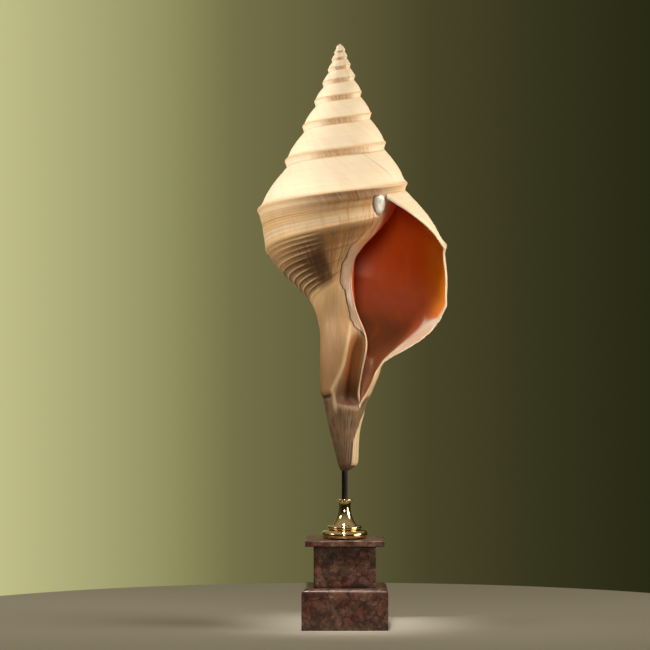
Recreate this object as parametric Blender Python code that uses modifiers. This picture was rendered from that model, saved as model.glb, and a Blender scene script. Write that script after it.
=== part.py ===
"""Trumpet shell on a display stand.

A large right-handed trumpet shell stands apex up, its mouth turned to -Y and its
outer lip to +X. A black rod runs up into the tip of its siphonal canal. The rod
stands in a turned brass foot on a marble cap slab, die and plinth.
Units are metres, +Z is up, and the origin is the middle of the plinth's underside.
"""
import math

import bmesh
import bpy
import numpy as np

# ---- fit ----
GAP = 0.0003                      # clearance between touching pieces

# ---- marble pedestal ----
PLINTH_SIDE = 0.101
PLINTH_HEIGHT = 0.0485
PLINTH_ROUND = 0.0065             # radius of the rounded top edges
DIE_SIDE = 0.0727
DIE_HEIGHT = 0.0479
CAP_SIDE = 0.0924
CAP_HEIGHT = 0.0066
ARRIS = 0.0006                    # width of the eased stone edges

# ---- brass foot and rod ----
FOOT_HEIGHT = 0.0463
TORUS_RADIUS = 0.0270
RING_RADIUS = 0.0202
BELL_RADIUS = 0.0138
NECK_RADIUS = 0.0070
LIP_RADIUS = 0.0093
TORUS = 0.0048                    # radius of the torus's and the ring's own section
RING = 0.0026
SHELF = 0.0006                    # flat between the ring and its neighbours
WAIST_DROP = 0.0075               # from the foot's top to its waist
BELL_POWER = 2.3
ROD_RADIUS = 0.0034
ROD_IN_FOOT = 0.025               # length of the rod inside the foot
ROD_IN_SHELL = 0.050              # length of the rod inside the canal
SOCKET_BELOW = 0.010              # the socket's cutter starts this far below the shell

# ---- shell: where it stands ----
APEX_POLE = 0.6987                # height that the whorls shrink towards
SPIRE_X = -0.0052                 # axis of the spire
NECK_X = 0.0022                   # middle of the neck
CANAL_X = 0.0007                  # middle of the canal's tip, set over the rod
SPIRE_END = 0.395                 # the axis bends from here to the neck
NECK_START = 0.325
NECK_END = 0.290                  # and from here to the tip
CANAL_START = 0.240
NUCLEUS_TOP = 0.6860              # the apex itself
SHELL_TIP = 0.1838                # lowest point of the canal
TIP_DOME = 0.0004                 # the tip's middle lies this far below its rim

# ---- shell: growth, for turns counted from the outer lip back to the apex ----
FIRST_TURN = -8.5
KEEL_DEPTH = 0.176                # depth of the keel below the pole, one turn back
KEEL_RADIUS = 0.0774              # radius of the keel there
DEPTH_RATE = 0.3125               # growth rates, per turn
RADIUS_RATE = 0.385
LAST_DROP = 0.0084                # extra growth over the last turn
LAST_FLARE = 0.084
KEEL_RIM = 0.0007                 # the keel stands out by this much
STEP_DROP = 0.0094                # undercut from the keel down to the suture
STEP_SCALE = 0.0706
STEP_SLOPE = 0.25
RAMP_BULGE = 0.09                 # fullness of the ramp above the keel

# ---- shell: sculpture below the shoulder of the body whorl ----
SECOND_KEEL_GAP = 0.0682          # shoulder to second keel, at the lip
SECOND_KEEL_RATE = 0.8
SECOND_KEEL_WIDTH = 0.988         # its radius as a share of the shoulder's, at the lip
SECOND_KEEL_GROWTH = 0.176        # growth of that share, per turn
BELLY_BULGE = 0.0026              # fullness between the keels, at the lip
BELLY_GROWTH = 2.2                # growth of that fullness, per turn
NECK_TOP = 0.3489                 # height where the base ends in the neck, half a turn back
NECK_FALL = 0.093                 # fall of that height, per turn
NECK_RISE = 0.108                 # extra height of it towards the inner lip, per turn squared
CORDS = 11
CORD_HEIGHT = 0.0012
CORD_REACH = 0.62                 # share of the base that carries cords
CANAL_END = 0.2577                # height where the open canal ends
CANAL_OPENING = 0.012             # height over which the canal opens
CANAL_FLARE = 0.62                # how far the canal's outer wall stands out, as a share
FLARE_POWER = 4.5
INNER_START = -0.55               # turn where the wall starts to draw in to the pillar
INNER_RUN = 0.34                  # turns it takes to reach it
PILLAR_RADIUS = 0.0140            # the pillar that the whorls wind round
PILLAR_END = -0.90                # turn where the inner lip's edge leaves the pillar
PILLAR_BLEND = 0.05

# ---- shell: mouth ----
SUTURE_LIP = 0.13                 # turn where the lip meets the suture
STEP_COLUMNS = 3                  # columns between that turn and the lip at the shoulder
COLUMNS = 32                      # columns in a turn
EDGE_WALL = 0.0022                # thickness of the lip's edge
BODY_WALL = 0.0050                # thickness deep inside
GLAZE = 0.0008                    # callus laid on the inner wall
CORNER_DROP = 0.0065              # wall above the cavity, at the suture
THIN = 0.0004                     # least half width of the cavity
WALL_GROWN = 16.0                 # degrees over which the wall reaches its full thickness
SETBACK = 0.004                   # the inner wall starts this far back, in turns
FLOOR_START = 0.0015              # the canal's floor above the canal's end
FLOOR_HEIGHT = 0.3066             # and deeper in, at turn 0
FLOOR_FALL = 0.1106               # its fall per turn
FLOOR_RUN = 0.14                  # turns over which the floor climbs
ROOF_ROUND = 0.04                 # shares of the cavity's height that its ends round off
FLOOR_ROUND = 0.12
CAVITY_DEGREES = (0, 4, 12, 25, 45, 70, 100, 135, 175, 220, 265, 300)

# ---- shell: hollow beside the canal ----
HOLLOW_DEPTH = 0.0140
HOLLOW_TOP = 0.357
HOLLOW_END = 0.258
HOLLOW_RIGHT = -44.0              # its sides, in degrees
HOLLOW_LEFT = -82.0
HOLLOW_SPREAD = -50.0             # how far the left side moves out on the way down

# Share of the base's width lost (second value) at a share of its height (first).
BASE_BEHIND = ((0, 0), (0.14, 0.15), (0.28, 0.34), (0.41, 0.59), (0.56, 0.84), (0.71, 0.96), (0.88, 0.99),
               (1, 1))
BASE_AT_LIP = ((0, 0), (0.20, 0.11), (0.37, 0.26), (0.49, 0.41), (0.61, 0.61), (0.71, 0.82),
               (0.80, 0.94), (0.92, 0.985), (1, 1))
# Height and radius of the neck and canal on the side away from the mouth.
NECK_LEFT = ((0.1838, 0.0045), (0.1866, 0.0068), (0.196, 0.0092), (0.2078, 0.0122), (0.2254, 0.0171),
             (0.2407, 0.0205), (0.2577, 0.0244), (0.2689, 0.0270), (0.2736, 0.0306), (0.3019, 0.0312),
             (0.3254, 0.0312), (0.3489, 0.0292), (0.3607, 0.0272), (0.40, 0.0240))
# The same on the side of the mouth, where the lip's edge runs down as a ridge.
NECK_RIGHT = ((0.1838, 0.0036), (0.1850, 0.0064), (0.1893, 0.0128), (0.196, 0.0142), (0.2078, 0.0145),
              (0.2242, 0.0152), (0.2372, 0.0172), (0.2548, 0.0222), (0.2666, 0.0256), (0.2736, 0.0272),
              (0.3019, 0.0312), (0.3254, 0.0312), (0.3489, 0.0292), (0.3607, 0.0272), (0.40, 0.0240))
# Height and radius of the inner lip's free edge, beside the canal.
INNER_LIP = ((0.2577, 0.0240), (0.2666, 0.0190), (0.276, 0.0180), (0.2913, 0.0210), (0.3089, 0.0253),
             (0.3301, 0.0313), (0.3419, 0.0320), (0.3489, 0.0290), (0.363, 0.0225), (0.38, 0.0185),
             (0.404, 0.0160), (0.424, 0.0165))
# Turn of the outer lip's edge, by share of the way down the ramp.
LIP_TURNS = ((0.0, 0.130), (0.30, 0.098), (0.70, 0.058), (1.0, 0.045))


def smooth(value):
    """Smooth step of a number or array, from 0 to 1."""
    value = np.clip(value, 0.0, 1.0)
    return value * value * (3.0 - 2.0 * value)


def table(points, at):
    """Read a short list of pairs as a curve."""
    xs, ys = zip(*points)
    return np.interp(at, xs, ys)


def axis_x(height):
    """The shell's axis, upright in the spire and set over the rod at the tip."""
    to_neck = smooth((SPIRE_END - height) / (SPIRE_END - NECK_START))
    to_tip = smooth((NECK_END - height) / (NECK_END - CANAL_START))
    return SPIRE_X + (NECK_X - SPIRE_X) * to_neck + (CANAL_X - NECK_X) * to_tip


def keel(turn):
    """Radius and height of the shoulder keel at a turn: a spiral that widens as it falls."""
    late = max(turn + 1.0, 0.0) ** 2
    depth = KEEL_DEPTH * math.exp(DEPTH_RATE * (turn + 1.0)) + LAST_DROP * late
    radius = KEEL_RADIUS * math.exp(RADIUS_RATE * (turn + 1.0) + LAST_FLARE * late) + KEEL_RIM
    return radius, APEX_POLE - depth


def below_keel(turn):
    """Foot of the small step under the keel, where the next whorl is laid on."""
    radius, height = keel(turn)
    drop = STEP_DROP * (1.0 - math.exp(-(APEX_POLE - height) / STEP_SCALE))
    return radius - STEP_SLOPE * drop, height - drop


def second_keel(turn):
    """Radius and height of the blunt second keel, below the shoulder."""
    radius, height = keel(turn)
    return (radius * (SECOND_KEEL_WIDTH + SECOND_KEEL_GROWTH * min(turn, 0.05)),
            height - SECOND_KEEL_GAP * math.exp(SECOND_KEEL_RATE * turn))


def neck_radius(turn, height):
    """Radius of the neck and canal: it winds out from the inner lip's edge to the outer lip."""
    lit = 0.5 + 0.5 * math.cos(2.0 * math.pi * turn)
    plain = table(NECK_LEFT, height) * (1.0 - lit) + table(NECK_RIGHT, height) * lit
    open_canal = smooth((height - CANAL_END) / CANAL_OPENING)
    flare = CANAL_FLARE * np.clip((height - CANAL_END) / (0.3019 - CANAL_END), 0.0, 1.15)
    outward = np.clip((turn + 0.5) / (LIP_AT_CANAL + 0.5), 0.0, 1.0) ** FLARE_POWER * flare * open_canal
    inward = smooth((INNER_START - turn) / INNER_RUN) * open_canal
    grown = plain * (1.0 + outward)
    free_edge = table(INNER_LIP, height)
    past = min(0.0, turn - PILLAR_END)
    column = PILLAR_RADIUS + (free_edge - PILLAR_RADIUS) * math.exp(past / PILLAR_BLEND)
    return grown * (1.0 - inward) + column * inward


def hollow(turn, height):
    """Depth of the hollow between the inner lip's edge and the ridge of old canals."""
    angle = math.degrees(2.0 * math.pi * ((-turn) % 1.0)) - 360.0
    share = (HOLLOW_TOP - height) / (HOLLOW_TOP - HOLLOW_END)
    left = HOLLOW_LEFT + HOLLOW_SPREAD * np.clip(share, 0.0, 1.0) ** 1.3
    across = np.clip((angle - HOLLOW_RIGHT) / (left - HOLLOW_RIGHT), 0.0, 1.0)
    along = smooth(share / 0.35) * smooth((1.0 - share) / 0.12)
    return HOLLOW_DEPTH * along * np.sin(math.pi * across ** 0.6) ** 0.9


def profile(turn, corded=True):
    """Rows (radius, height) of the whorl's section at a turn, from its upper suture down."""
    top_radius, top = below_keel(turn - 1.0)
    keel_radius, keel_height = keel(turn)
    step_radius, step = below_keel(turn)
    second_radius, second = second_keel(turn)
    neck_top = NECK_TOP - NECK_FALL * (turn + 0.5) + NECK_RISE * max(-0.5 - turn, 0.0) ** 2
    end_radius = float(neck_radius(turn, neck_top))
    rows = []
    slope = keel_radius - top_radius
    for share in RAMP:
        bulge = RAMP_BULGE * slope * math.sin(math.pi * min(share / 0.9, 1.0))
        rows.append((top_radius + slope * share + bulge, top + (keel_height - top) * share))
    rows.append((step_radius, step))
    belly = BELLY_BULGE * (BELLY_GROWTH * turn + 1.0) / 1.1
    for share in BELLY[1:]:
        bulge = belly * math.sin(math.pi * share)
        rows.append((step_radius + (second_radius - step_radius) * share + bulge,
                     step + (second - step) * share))
    near_lip = float(smooth((turn + 0.5) / 0.55))
    for share in BASE[1:]:
        lost = table(BASE_BEHIND, share) * (1.0 - near_lip) + table(BASE_AT_LIP, share) * near_lip
        radius = second_radius + (end_radius - second_radius) * lost
        if corded and share < CORD_REACH:
            wave = math.cos(2.0 * math.pi * share * CORDS / CORD_REACH)
            radius += CORD_HEIGHT * (wave - 1.0) * 0.5
        rows.append((radius, second + (neck_top - second) * share))
    for share in NECK[1:]:
        height = neck_top + (CANAL_END - neck_top) * share
        rows.append((neck_radius(turn, height), height))
    for share in TIP[1:]:
        height = CANAL_END + (SHELL_TIP - CANAL_END) * share
        rows.append((neck_radius(turn, height), height))
    return np.array(rows, dtype=float)


RAMP = (0.0, 0.3, 0.62, 0.9, 1.0)
BELLY = (0.0, 0.35, 0.7, 1.0)
BASE = tuple(CORD_REACH * i / (2 * CORDS) for i in range(2 * CORDS + 1)) + (0.71, 0.80, 0.89, 1.0)
NECK = (0.0, 0.2, 0.4, 0.6, 0.8, 1.0)
TIP = (0.0, 0.13, 0.28, 0.45, 0.62, 0.77, 0.9, 0.97, 1.0)
STEP_ROW = len(RAMP)
SECOND_ROW = STEP_ROW + len(BELLY) - 1
NECK_ROW = SECOND_ROW + len(BASE) - 1
CANAL_ROW = NECK_ROW + len(NECK) - 1
LAST_ROW = CANAL_ROW + len(TIP) - 1
LIP_AT_STEP = SUTURE_LIP - STEP_COLUMNS / COLUMNS
LIP_AT_CANAL = 42.0 / 360.0
MOUTH_COLUMNS = COLUMNS - STEP_COLUMNS


def lip_turn(row):
    """Turn of the outer lip's edge at a row: forward at the suture, back at the shoulder,
    and forward again along the canal."""
    if row <= len(RAMP) - 1:
        return table(LIP_TURNS, RAMP[row])
    if row <= SECOND_ROW:
        return LIP_AT_STEP
    if row <= NECK_ROW:
        share = BASE[row - SECOND_ROW]
        return LIP_AT_STEP + (LIP_AT_CANAL - LIP_AT_STEP) * float(smooth(share ** 1.6))
    return LIP_AT_CANAL


def inner_turn(row):
    """Turn at which the inner wall leaves the whorl before, on the pillar's side."""
    share = smooth((row - STEP_ROW) / (NECK_ROW - STEP_ROW))
    return (SUTURE_LIP + (LIP_AT_CANAL - SUTURE_LIP) * float(share)) - 1.0


def place(turn, radius, height):
    """Point of the shell at a turn. Turns run clockwise seen from above, and turn 0 is at +X."""
    angle = -2.0 * math.pi * turn
    return (float(axis_x(height) + radius * math.cos(angle)), radius * math.sin(angle), float(height))


def outside(turn, row):
    radius, height = profile(turn)[row]
    if height < HOLLOW_TOP:
        radius -= float(hollow(turn, height))
    return place(turn, radius, height)


def wall_inside(turn, thickness):
    """The section of a whorl moved in by the wall's thickness, sorted by height."""
    rows = profile(turn, corded=False)[: CANAL_ROW + 1]
    along = np.gradient(rows, axis=0)
    along /= np.linalg.norm(along, axis=1)[:, None]
    inward = np.column_stack((along[:, 1], -along[:, 0]))
    moved = rows + thickness * inward
    return moved[np.argsort(moved[:, 1])]


def canal_floor(turn, back):
    """Lowest height of the cavity: the canal's floor climbs from its end into the body."""
    inside = FLOOR_HEIGHT - FLOOR_FALL * turn
    low = CANAL_END + FLOOR_START
    return low + (inside - low) * float(smooth(back / FLOOR_RUN))


def cavity_point(turn, share, back, thickness, outer):
    """Point of the cavity's wall, at a share of the mouth's height and a share of a turn back."""
    scale = math.exp(-DEPTH_RATE * back)
    top = below_keel(turn - 1.0)[1] - CORNER_DROP * scale
    bottom = canal_floor(turn, back)
    height = top + (bottom - top) * share
    wall = wall_inside(turn, thickness)
    far = float(np.interp(height, wall[:, 1], wall[:, 0]))
    pillar = profile(turn - 1.0, corded=False)
    pillar = pillar[np.argsort(pillar[:, 1])]
    near = float(np.interp(height, pillar[:, 1], pillar[:, 0])) + GLAZE
    middle = min((far + near) * 0.5, far)
    half = max((far - near) * 0.5, THIN)
    for end in (min(share / ROOF_ROUND, 1.0), min((1.0 - share) / FLOOR_ROUND, 1.0)):
        half *= math.sqrt(max(1.0 - (1.0 - end) ** 2, 0.0))
    return place(turn, middle + half if outer else middle - half, height)


def shell_mesh():
    """One closed skin: whorls as a strip wound from the apex, then the lip, the cavity and caps."""
    mesh = bmesh.new()
    first = round((FIRST_TURN + 1.0 - LIP_AT_STEP) * COLUMNS)
    vertices = {}
    for column in range(first, COLUMNS + 1):
        rows = range(LAST_ROW + 1) if column >= STEP_COLUMNS else range(STEP_ROW + 1)
        for row in rows:
            if row <= STEP_ROW:
                turn = lip_turn(row) - 1.0 + column / COLUMNS
            else:
                share = (column - STEP_COLUMNS) / MOUTH_COLUMNS
                turn = inner_turn(row) + (lip_turn(row) - inner_turn(row)) * share
            if row == 0 and (column - MOUTH_COLUMNS, STEP_ROW) in vertices:
                vertices[column, row] = vertices[column - MOUTH_COLUMNS, STEP_ROW]
            elif row >= CANAL_ROW and column == COLUMNS:
                vertices[column, row] = vertices[STEP_COLUMNS, row]
            else:
                vertices[column, row] = mesh.verts.new(outside(turn, row))

    def face(*corners):
        corners = list(dict.fromkeys(reversed(corners)))
        if len(corners) > 2:
            mesh.faces.new(corners)

    for column in range(first, COLUMNS):
        last = LAST_ROW if column >= STEP_COLUMNS else STEP_ROW
        for row in range(last):
            face(vertices[column, row], vertices[column, row + 1],
                 vertices[column + 1, row + 1], vertices[column + 1, row])

    apex = mesh.verts.new(place(FIRST_TURN, 0.0, NUCLEUS_TOP))
    rim = [vertices[first, row] for row in range(STEP_ROW, -1, -1)]
    rim += [vertices[first + step, 0] for step in range(1, MOUTH_COLUMNS + 1)]
    for start, end in zip(rim, rim[1:]):
        face(apex, start, end)

    tip = mesh.verts.new(place(0.0, 0.0, SHELL_TIP - TIP_DOME))
    for column in range(STEP_COLUMNS, COLUMNS):
        face(tip, vertices[column + 1, LAST_ROW], vertices[column, LAST_ROW])

    mouth = [vertices[COLUMNS, row] for row in range(CANAL_ROW + 1)]
    mouth += [vertices[STEP_COLUMNS, row] for row in range(CANAL_ROW - 1, STEP_ROW, -1)]
    sides = [(lip_turn(row), row, True) for row in range(CANAL_ROW + 1)]
    sides += [(inner_turn(row) + 1.0, row, False) for row in range(CANAL_ROW - 1, STEP_ROW, -1)]
    top = mouth[0].co.z
    shares = [(top - vertex.co.z) / (top - mouth[CANAL_ROW].co.z) for vertex in mouth]
    before = mouth
    for degrees in CAVITY_DEGREES:
        back = degrees / 360.0
        thickness = EDGE_WALL + (BODY_WALL - EDGE_WALL) * float(smooth(degrees / WALL_GROWN))
        ring = []
        for (turn, row, outer), share in zip(sides, shares):
            setback = 0.0 if outer else SETBACK
            ring.append(mesh.verts.new(cavity_point(turn - back - setback, share, back, thickness, outer)))
        for index, vertex in enumerate(ring):
            after = (index + 1) % len(ring)
            face(before[index], before[after], ring[after], vertex)
        before = ring
    middle = sum((vertex.co for vertex in before), before[0].co * 0.0) / len(before)
    end = mesh.verts.new(middle)
    for index, vertex in enumerate(before):
        face(end, vertex, before[(index + 1) % len(before)])
    return mesh


def material(name, colour, roughness, metallic=0.0):
    made = bpy.data.materials.new(name)
    made.use_nodes = True
    shader = made.node_tree.nodes["Principled BSDF"]
    shader.inputs["Base Color"].default_value = (*colour, 1.0)
    shader.inputs["Roughness"].default_value = roughness
    shader.inputs["Metallic"].default_value = metallic
    return made


def add_object(name, mesh, finish, collection):
    made = bpy.data.objects.new(name, mesh)
    made.data.materials.append(finish)
    collection.objects.link(made)
    return made


def from_bmesh(name, mesh, finish, collection):
    data = bpy.data.meshes.new(name)
    mesh.to_mesh(data)
    mesh.free()
    return add_object(name, data, finish, collection)


def stone_block(name, side, height, base, finish, collection, top_round=ARRIS):
    """Square block: its top edges take their own radius, the others an eased arris."""
    mesh = bmesh.new()
    bmesh.ops.create_cube(mesh, size=1.0)
    bmesh.ops.scale(mesh, vec=(side, side, height), verts=mesh.verts)
    bmesh.ops.translate(mesh, vec=(0.0, 0.0, base + height / 2.0), verts=mesh.verts)
    widest = max(top_round, ARRIS)
    weights = mesh.edges.layers.float.new("bevel_weight_edge")
    for edge in mesh.edges:
        on_top = all(vertex.co.z > base + height / 2.0 for vertex in edge.verts)
        on_bottom = all(vertex.co.z < base + height / 2.0 for vertex in edge.verts)
        edge[weights] = top_round / widest if on_top else 0.0 if on_bottom else ARRIS / widest
    block = from_bmesh(name, mesh, finish, collection)
    bevel = block.modifiers.new("eased edges", "BEVEL")
    bevel.limit_method = "WEIGHT"
    bevel.width = widest
    bevel.segments = 5 if top_round > ARRIS else 1
    return block


def arc(centre, radius, start, end, steps):
    """Points (radius, height) on an arc, angles in degrees from the outward direction."""
    angles = np.radians(np.linspace(start, end, steps))
    return [(centre[0] + radius * math.cos(a), centre[1] + radius * math.sin(a)) for a in angles]


def turned(name, points, finish, collection, steps=32):
    """Profile of (radius, height) points turned round the upright axis."""
    mesh = bpy.data.meshes.new(name)
    mesh.from_pydata([(radius, 0.0, height) for radius, height in points],
                     [(i, i + 1) for i in range(len(points) - 1)], [])
    made = add_object(name, mesh, finish, collection)
    screw = made.modifiers.new("turn", "SCREW")
    screw.steps = steps
    screw.render_steps = steps
    screw.use_merge_vertices = True
    screw.merge_threshold = 0.00001
    return made


def foot_profile(base):
    """Brass foot, from its bore over the lip, down the waist and bell to the ring and torus."""
    top = base + FOOT_HEIGHT
    bore = ROD_RADIUS + GAP
    floor = top - ROD_IN_FOOT - GAP
    ring_z = base + 2.0 * TORUS + RING + SHELF
    points = [(0.0, floor), (bore, floor), (bore, top)]
    points += [(LIP_RADIUS - 0.0012, top), (LIP_RADIUS, top - 0.0010), (LIP_RADIUS - 0.0009, top - 0.0024)]
    waist = top - WAIST_DROP
    bell_foot = ring_z + RING + SHELF
    for share in np.linspace(0.0, 1.0, 9):
        height = waist + (bell_foot - waist) * share
        spread = share ** BELL_POWER
        points.append((NECK_RADIUS + (BELL_RADIUS - NECK_RADIUS) * spread, height))
    points += arc((RING_RADIUS - RING, ring_z), RING, 80.0, -80.0, 7)
    points.append((RING_RADIUS - 0.0008, base + 2.0 * TORUS + SHELF / 2.0))
    points += arc((TORUS_RADIUS - TORUS, base + TORUS), TORUS, 80.0, -90.0, 9)
    points.append((0.0, base))
    return points


def build():
    for thing in list(bpy.data.objects):
        bpy.data.objects.remove(thing, do_unlink=True)
    piece = bpy.data.collections.new("trumpet_shell")
    cutters = bpy.data.collections.new("cutters")
    bpy.context.scene.collection.children.link(piece)
    bpy.context.scene.collection.children.link(cutters)

    marble = material("marble", (0.36, 0.26, 0.23), 0.3)
    brass = material("brass", (0.80, 0.58, 0.24), 0.15, 1.0)
    black = material("blackened steel", (0.02, 0.02, 0.02), 0.4, 0.6)
    cream = material("shell", (0.78, 0.62, 0.42), 0.45)

    stone_block("marble_plinth", PLINTH_SIDE, PLINTH_HEIGHT, 0.0, marble, piece, PLINTH_ROUND)
    die_base = PLINTH_HEIGHT + GAP
    stone_block("marble_die", DIE_SIDE, DIE_HEIGHT, die_base, marble, piece)
    cap_base = die_base + DIE_HEIGHT + GAP
    stone_block("marble_cap", CAP_SIDE, CAP_HEIGHT, cap_base, marble, piece)
    foot_base = cap_base + CAP_HEIGHT + GAP
    turned("brass_foot", foot_profile(foot_base), brass, piece)

    rod_low = foot_base + FOOT_HEIGHT - ROD_IN_FOOT
    rod_high = SHELL_TIP + ROD_IN_SHELL
    rod = bmesh.new()
    bmesh.ops.create_cone(rod, cap_ends=True, segments=24, radius1=ROD_RADIUS, radius2=ROD_RADIUS,
                          depth=rod_high - rod_low)
    bmesh.ops.translate(rod, vec=(0.0, 0.0, (rod_low + rod_high) / 2.0), verts=rod.verts)
    from_bmesh("rod", rod, black, piece)

    shell = from_bmesh("shell", shell_mesh(), cream, piece)
    socket = bmesh.new()
    socket_low = SHELL_TIP - SOCKET_BELOW
    socket_high = rod_high + GAP
    bmesh.ops.create_cone(socket, cap_ends=True, segments=24, radius1=ROD_RADIUS + GAP,
                          radius2=ROD_RADIUS + GAP, depth=socket_high - socket_low)
    bmesh.ops.translate(socket, vec=(0.0, 0.0, (socket_low + socket_high) / 2.0), verts=socket.verts)
    cutter = from_bmesh("rod_socket", socket, black, cutters)
    cutter.hide_render = True
    cutter.display_type = "WIRE"
    cut = shell.modifiers.new("rod socket", "BOOLEAN")
    cut.operation = "DIFFERENCE"
    cut.object = cutter

    for thing in piece.objects:
        thing.data.shade_smooth()
        thing.data.set_sharp_from_angle(angle=math.radians(40.0))


build()
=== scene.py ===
import math
from functools import partialmethod

import bpy
import numpy as np
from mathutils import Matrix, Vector


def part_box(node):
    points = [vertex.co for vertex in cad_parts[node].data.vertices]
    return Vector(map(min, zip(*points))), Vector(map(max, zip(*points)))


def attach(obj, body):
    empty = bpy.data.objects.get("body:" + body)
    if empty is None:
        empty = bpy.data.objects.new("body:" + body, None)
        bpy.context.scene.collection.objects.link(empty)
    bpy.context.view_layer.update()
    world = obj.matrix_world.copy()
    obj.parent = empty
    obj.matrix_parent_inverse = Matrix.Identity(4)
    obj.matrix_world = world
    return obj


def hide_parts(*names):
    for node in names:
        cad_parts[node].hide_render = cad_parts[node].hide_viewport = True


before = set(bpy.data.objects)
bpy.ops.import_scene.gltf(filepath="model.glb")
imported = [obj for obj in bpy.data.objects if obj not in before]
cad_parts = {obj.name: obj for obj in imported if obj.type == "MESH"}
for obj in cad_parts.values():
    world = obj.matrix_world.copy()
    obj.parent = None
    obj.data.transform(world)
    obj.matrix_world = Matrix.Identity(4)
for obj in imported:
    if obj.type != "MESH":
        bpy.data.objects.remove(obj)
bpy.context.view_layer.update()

# ---- where the shell stands, in metres ----
APEX_POLE = 0.6987
NUCLEUS_TOP = 0.6860
CANAL_END = 0.2577
SHELL_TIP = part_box("shell")[0].z
SPIRE_X, NECK_X, CANAL_X = -0.0052, 0.0022, 0.0007
SPIRE_END, NECK_START, NECK_END, CANAL_START = 0.395, 0.325, 0.290, 0.240

# ---- growth of the whorls, in turns counted from the outer lip back to the apex ----
KEEL_DEPTH, KEEL_RADIUS = 0.176, 0.0774
DEPTH_RATE, RADIUS_RATE = 0.3125, 0.385
LAST_DROP, LAST_FLARE = 0.0084, 0.084
STEP_DROP, STEP_SCALE, STEP_SLOPE = 0.0094, 0.0706, 0.25
RAMP_BULGE = 0.09
SECOND_KEEL_GAP, SECOND_KEEL_RATE = 0.0682, 0.8
NECK_TOP, NECK_FALL, NECK_RISE = 0.3489, 0.093, 0.108
PILLAR_RADIUS = 0.0140
SLANT = 3 / 32                    # turn that a growth line gains from the step's foot to the suture
SUTURE_LIP = 0.13                 # turn where the lip meets the suture
LIP_AT_STEP = SUTURE_LIP - SLANT
LIP_AT_CANAL = 42 / 360
FIRST_GROWTH = -7.53125           # growth of the first line of the spire
SEAM = -0.5                       # growth where the spire's piece meets the last whorl's, at the back
SCARS = (0.045, 0.60, 0.83, -0.35, -1.30, -2.42)   # growth of the healed breaks of the lip

# ---- the mouth ----
EDGE_WALL, BODY_WALL, GLAZE = 0.0022, 0.0050, 0.0008
CORNER_DROP = 0.0065
LIP_WIDTH, NICK_DEPTH = 0.0040, 0.0003
CAVITY_BACK = 300 / 360           # how far round the cavity reaches, in turns
CAVITY_FLOOR, FLOOR_RISE, FLOOR_GAP = 0.3066, 0.1106, 0.0015    # height at turn 0, rise a turn back, gap
RINGS, CLOSING = 46, 13           # rings of the cavity, and columns over which the tip closes
JOIN_RUN = 0.05                   # growth over which the ramp and step join the rows below
EASED, RING_EASED, DEEP_EASED = 3, 14, 70   # rounds of easing: the outside, the cavity, and deep inside it
HOLLOW_DEPTH, HOLLOW_TOP, HOLLOW_END = 0.0140, 0.357, 0.258
HOLLOW_RIGHT, HOLLOW_LEFT, HOLLOW_SPREAD = -44.0, -82.0, 50.0   # its sides, in degrees

# Width of the lip's pale band and softness of its edge, by share of the way down the mouth.
OUTER_BAND = ((0.0, 0.0160), (0.05, 0.0100), (0.12, 0.0045), (0.22, 0.0035), (0.45, 0.0035), (0.52, 0.0100),
              (0.58, 0.0170), (0.62, 0.0340), (0.66, 0.0540), (0.74, 0.0430), (0.80, 0.0250), (0.86, 0.0100),
              (1.0, 0.0035))
INNER_BAND = ((0.0, 0.0120), (0.22, 0.0120), (0.32, 0.0040), (0.36, 0.0030), (1.0, 0.0026))
OUTER_SOFT = ((0.0, 0.90), (0.10, 0.35), (0.45, 0.25), (1.0, 0.25))
INNER_SOFT = ((0.0, 0.95), (0.22, 0.95), (0.36, 0.45), (1.0, 0.45))

# ---- sculpture ----
CORDS, CORD_REACH, CORD_DEPTH = 11, 0.62, 0.0012
LEFT_TURN = -0.50                 # turn of the left side, where the upper cords flatten
CORDS_FADE, CORDS_LOWER, FADE_RUN = -0.655, 0.065, 0.06     # turns where the cords wear out, by the mouth
NACRE = (0.0405, 0.4954, 0.0070, 0.0124)                    # pearly boss: x, height and half sizes
FASCIOLE = ((0.238, -0.0080), (0.245, -0.0090), (0.268, -0.0125), (0.2783, -0.0148), (0.2936, -0.0078),
            (0.309, -0.0019), (0.3367, 0.0032), (0.3597, 0.0071), (0.38, 0.0100))   # height and x
TIP_ROLL = ((0.188, 58.0), (0.2172, 55.0), (0.2372, 28.0), (0.255, 12.0), (0.27, 8.0))   # height, degrees
CHIP_HEIGHT, CHIP_ANGLE, CHIP_HALF = 0.2712, 149.0, 26.0    # height and degrees of the broken edge
ROLL_TOP, WORN_TOP = 0.262, 0.270    # heights below which the tip's edge is rolled, and its chalk worn

# ---- the stand ----
ARRIS, ARRIS_WEAR, PLINTH_ROUND = 0.0006, 0.00012, 0.0065
ROD_RADIUS, ROD_GAP, ROD_EDGE = 0.0034, 0.0003, 0.0003
TORUS, TORUS_RADIUS, RING, RING_RADIUS = 0.0048, 0.0270, 0.0026, 0.0202
BELL_RADIUS, NECK_RADIUS, LIP_RADIUS = 0.0138, 0.0070, 0.0093
SEAT, WAIST_DROP, BORE_DEPTH, BORE_EDGE = 0.0006, 0.0075, 0.0253, 0.0004
FLOOR_RADIUS = 0.6
CAMERA_PLACE, CAMERA_LENS = (-0.02306, -3.53, 0.35483), 166.15

# Rows of the whorl's section are counted down the profile: 0 to 1 is the ramp, 1 to 2 the step
# under the keel, 2 to 3 the belly, 3 to 4 the base, 4 to 5 the neck and 5 to 6 the tip.
RAMP, STEP, BELLY, BASE, NECK, TIP = range(6)

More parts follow.
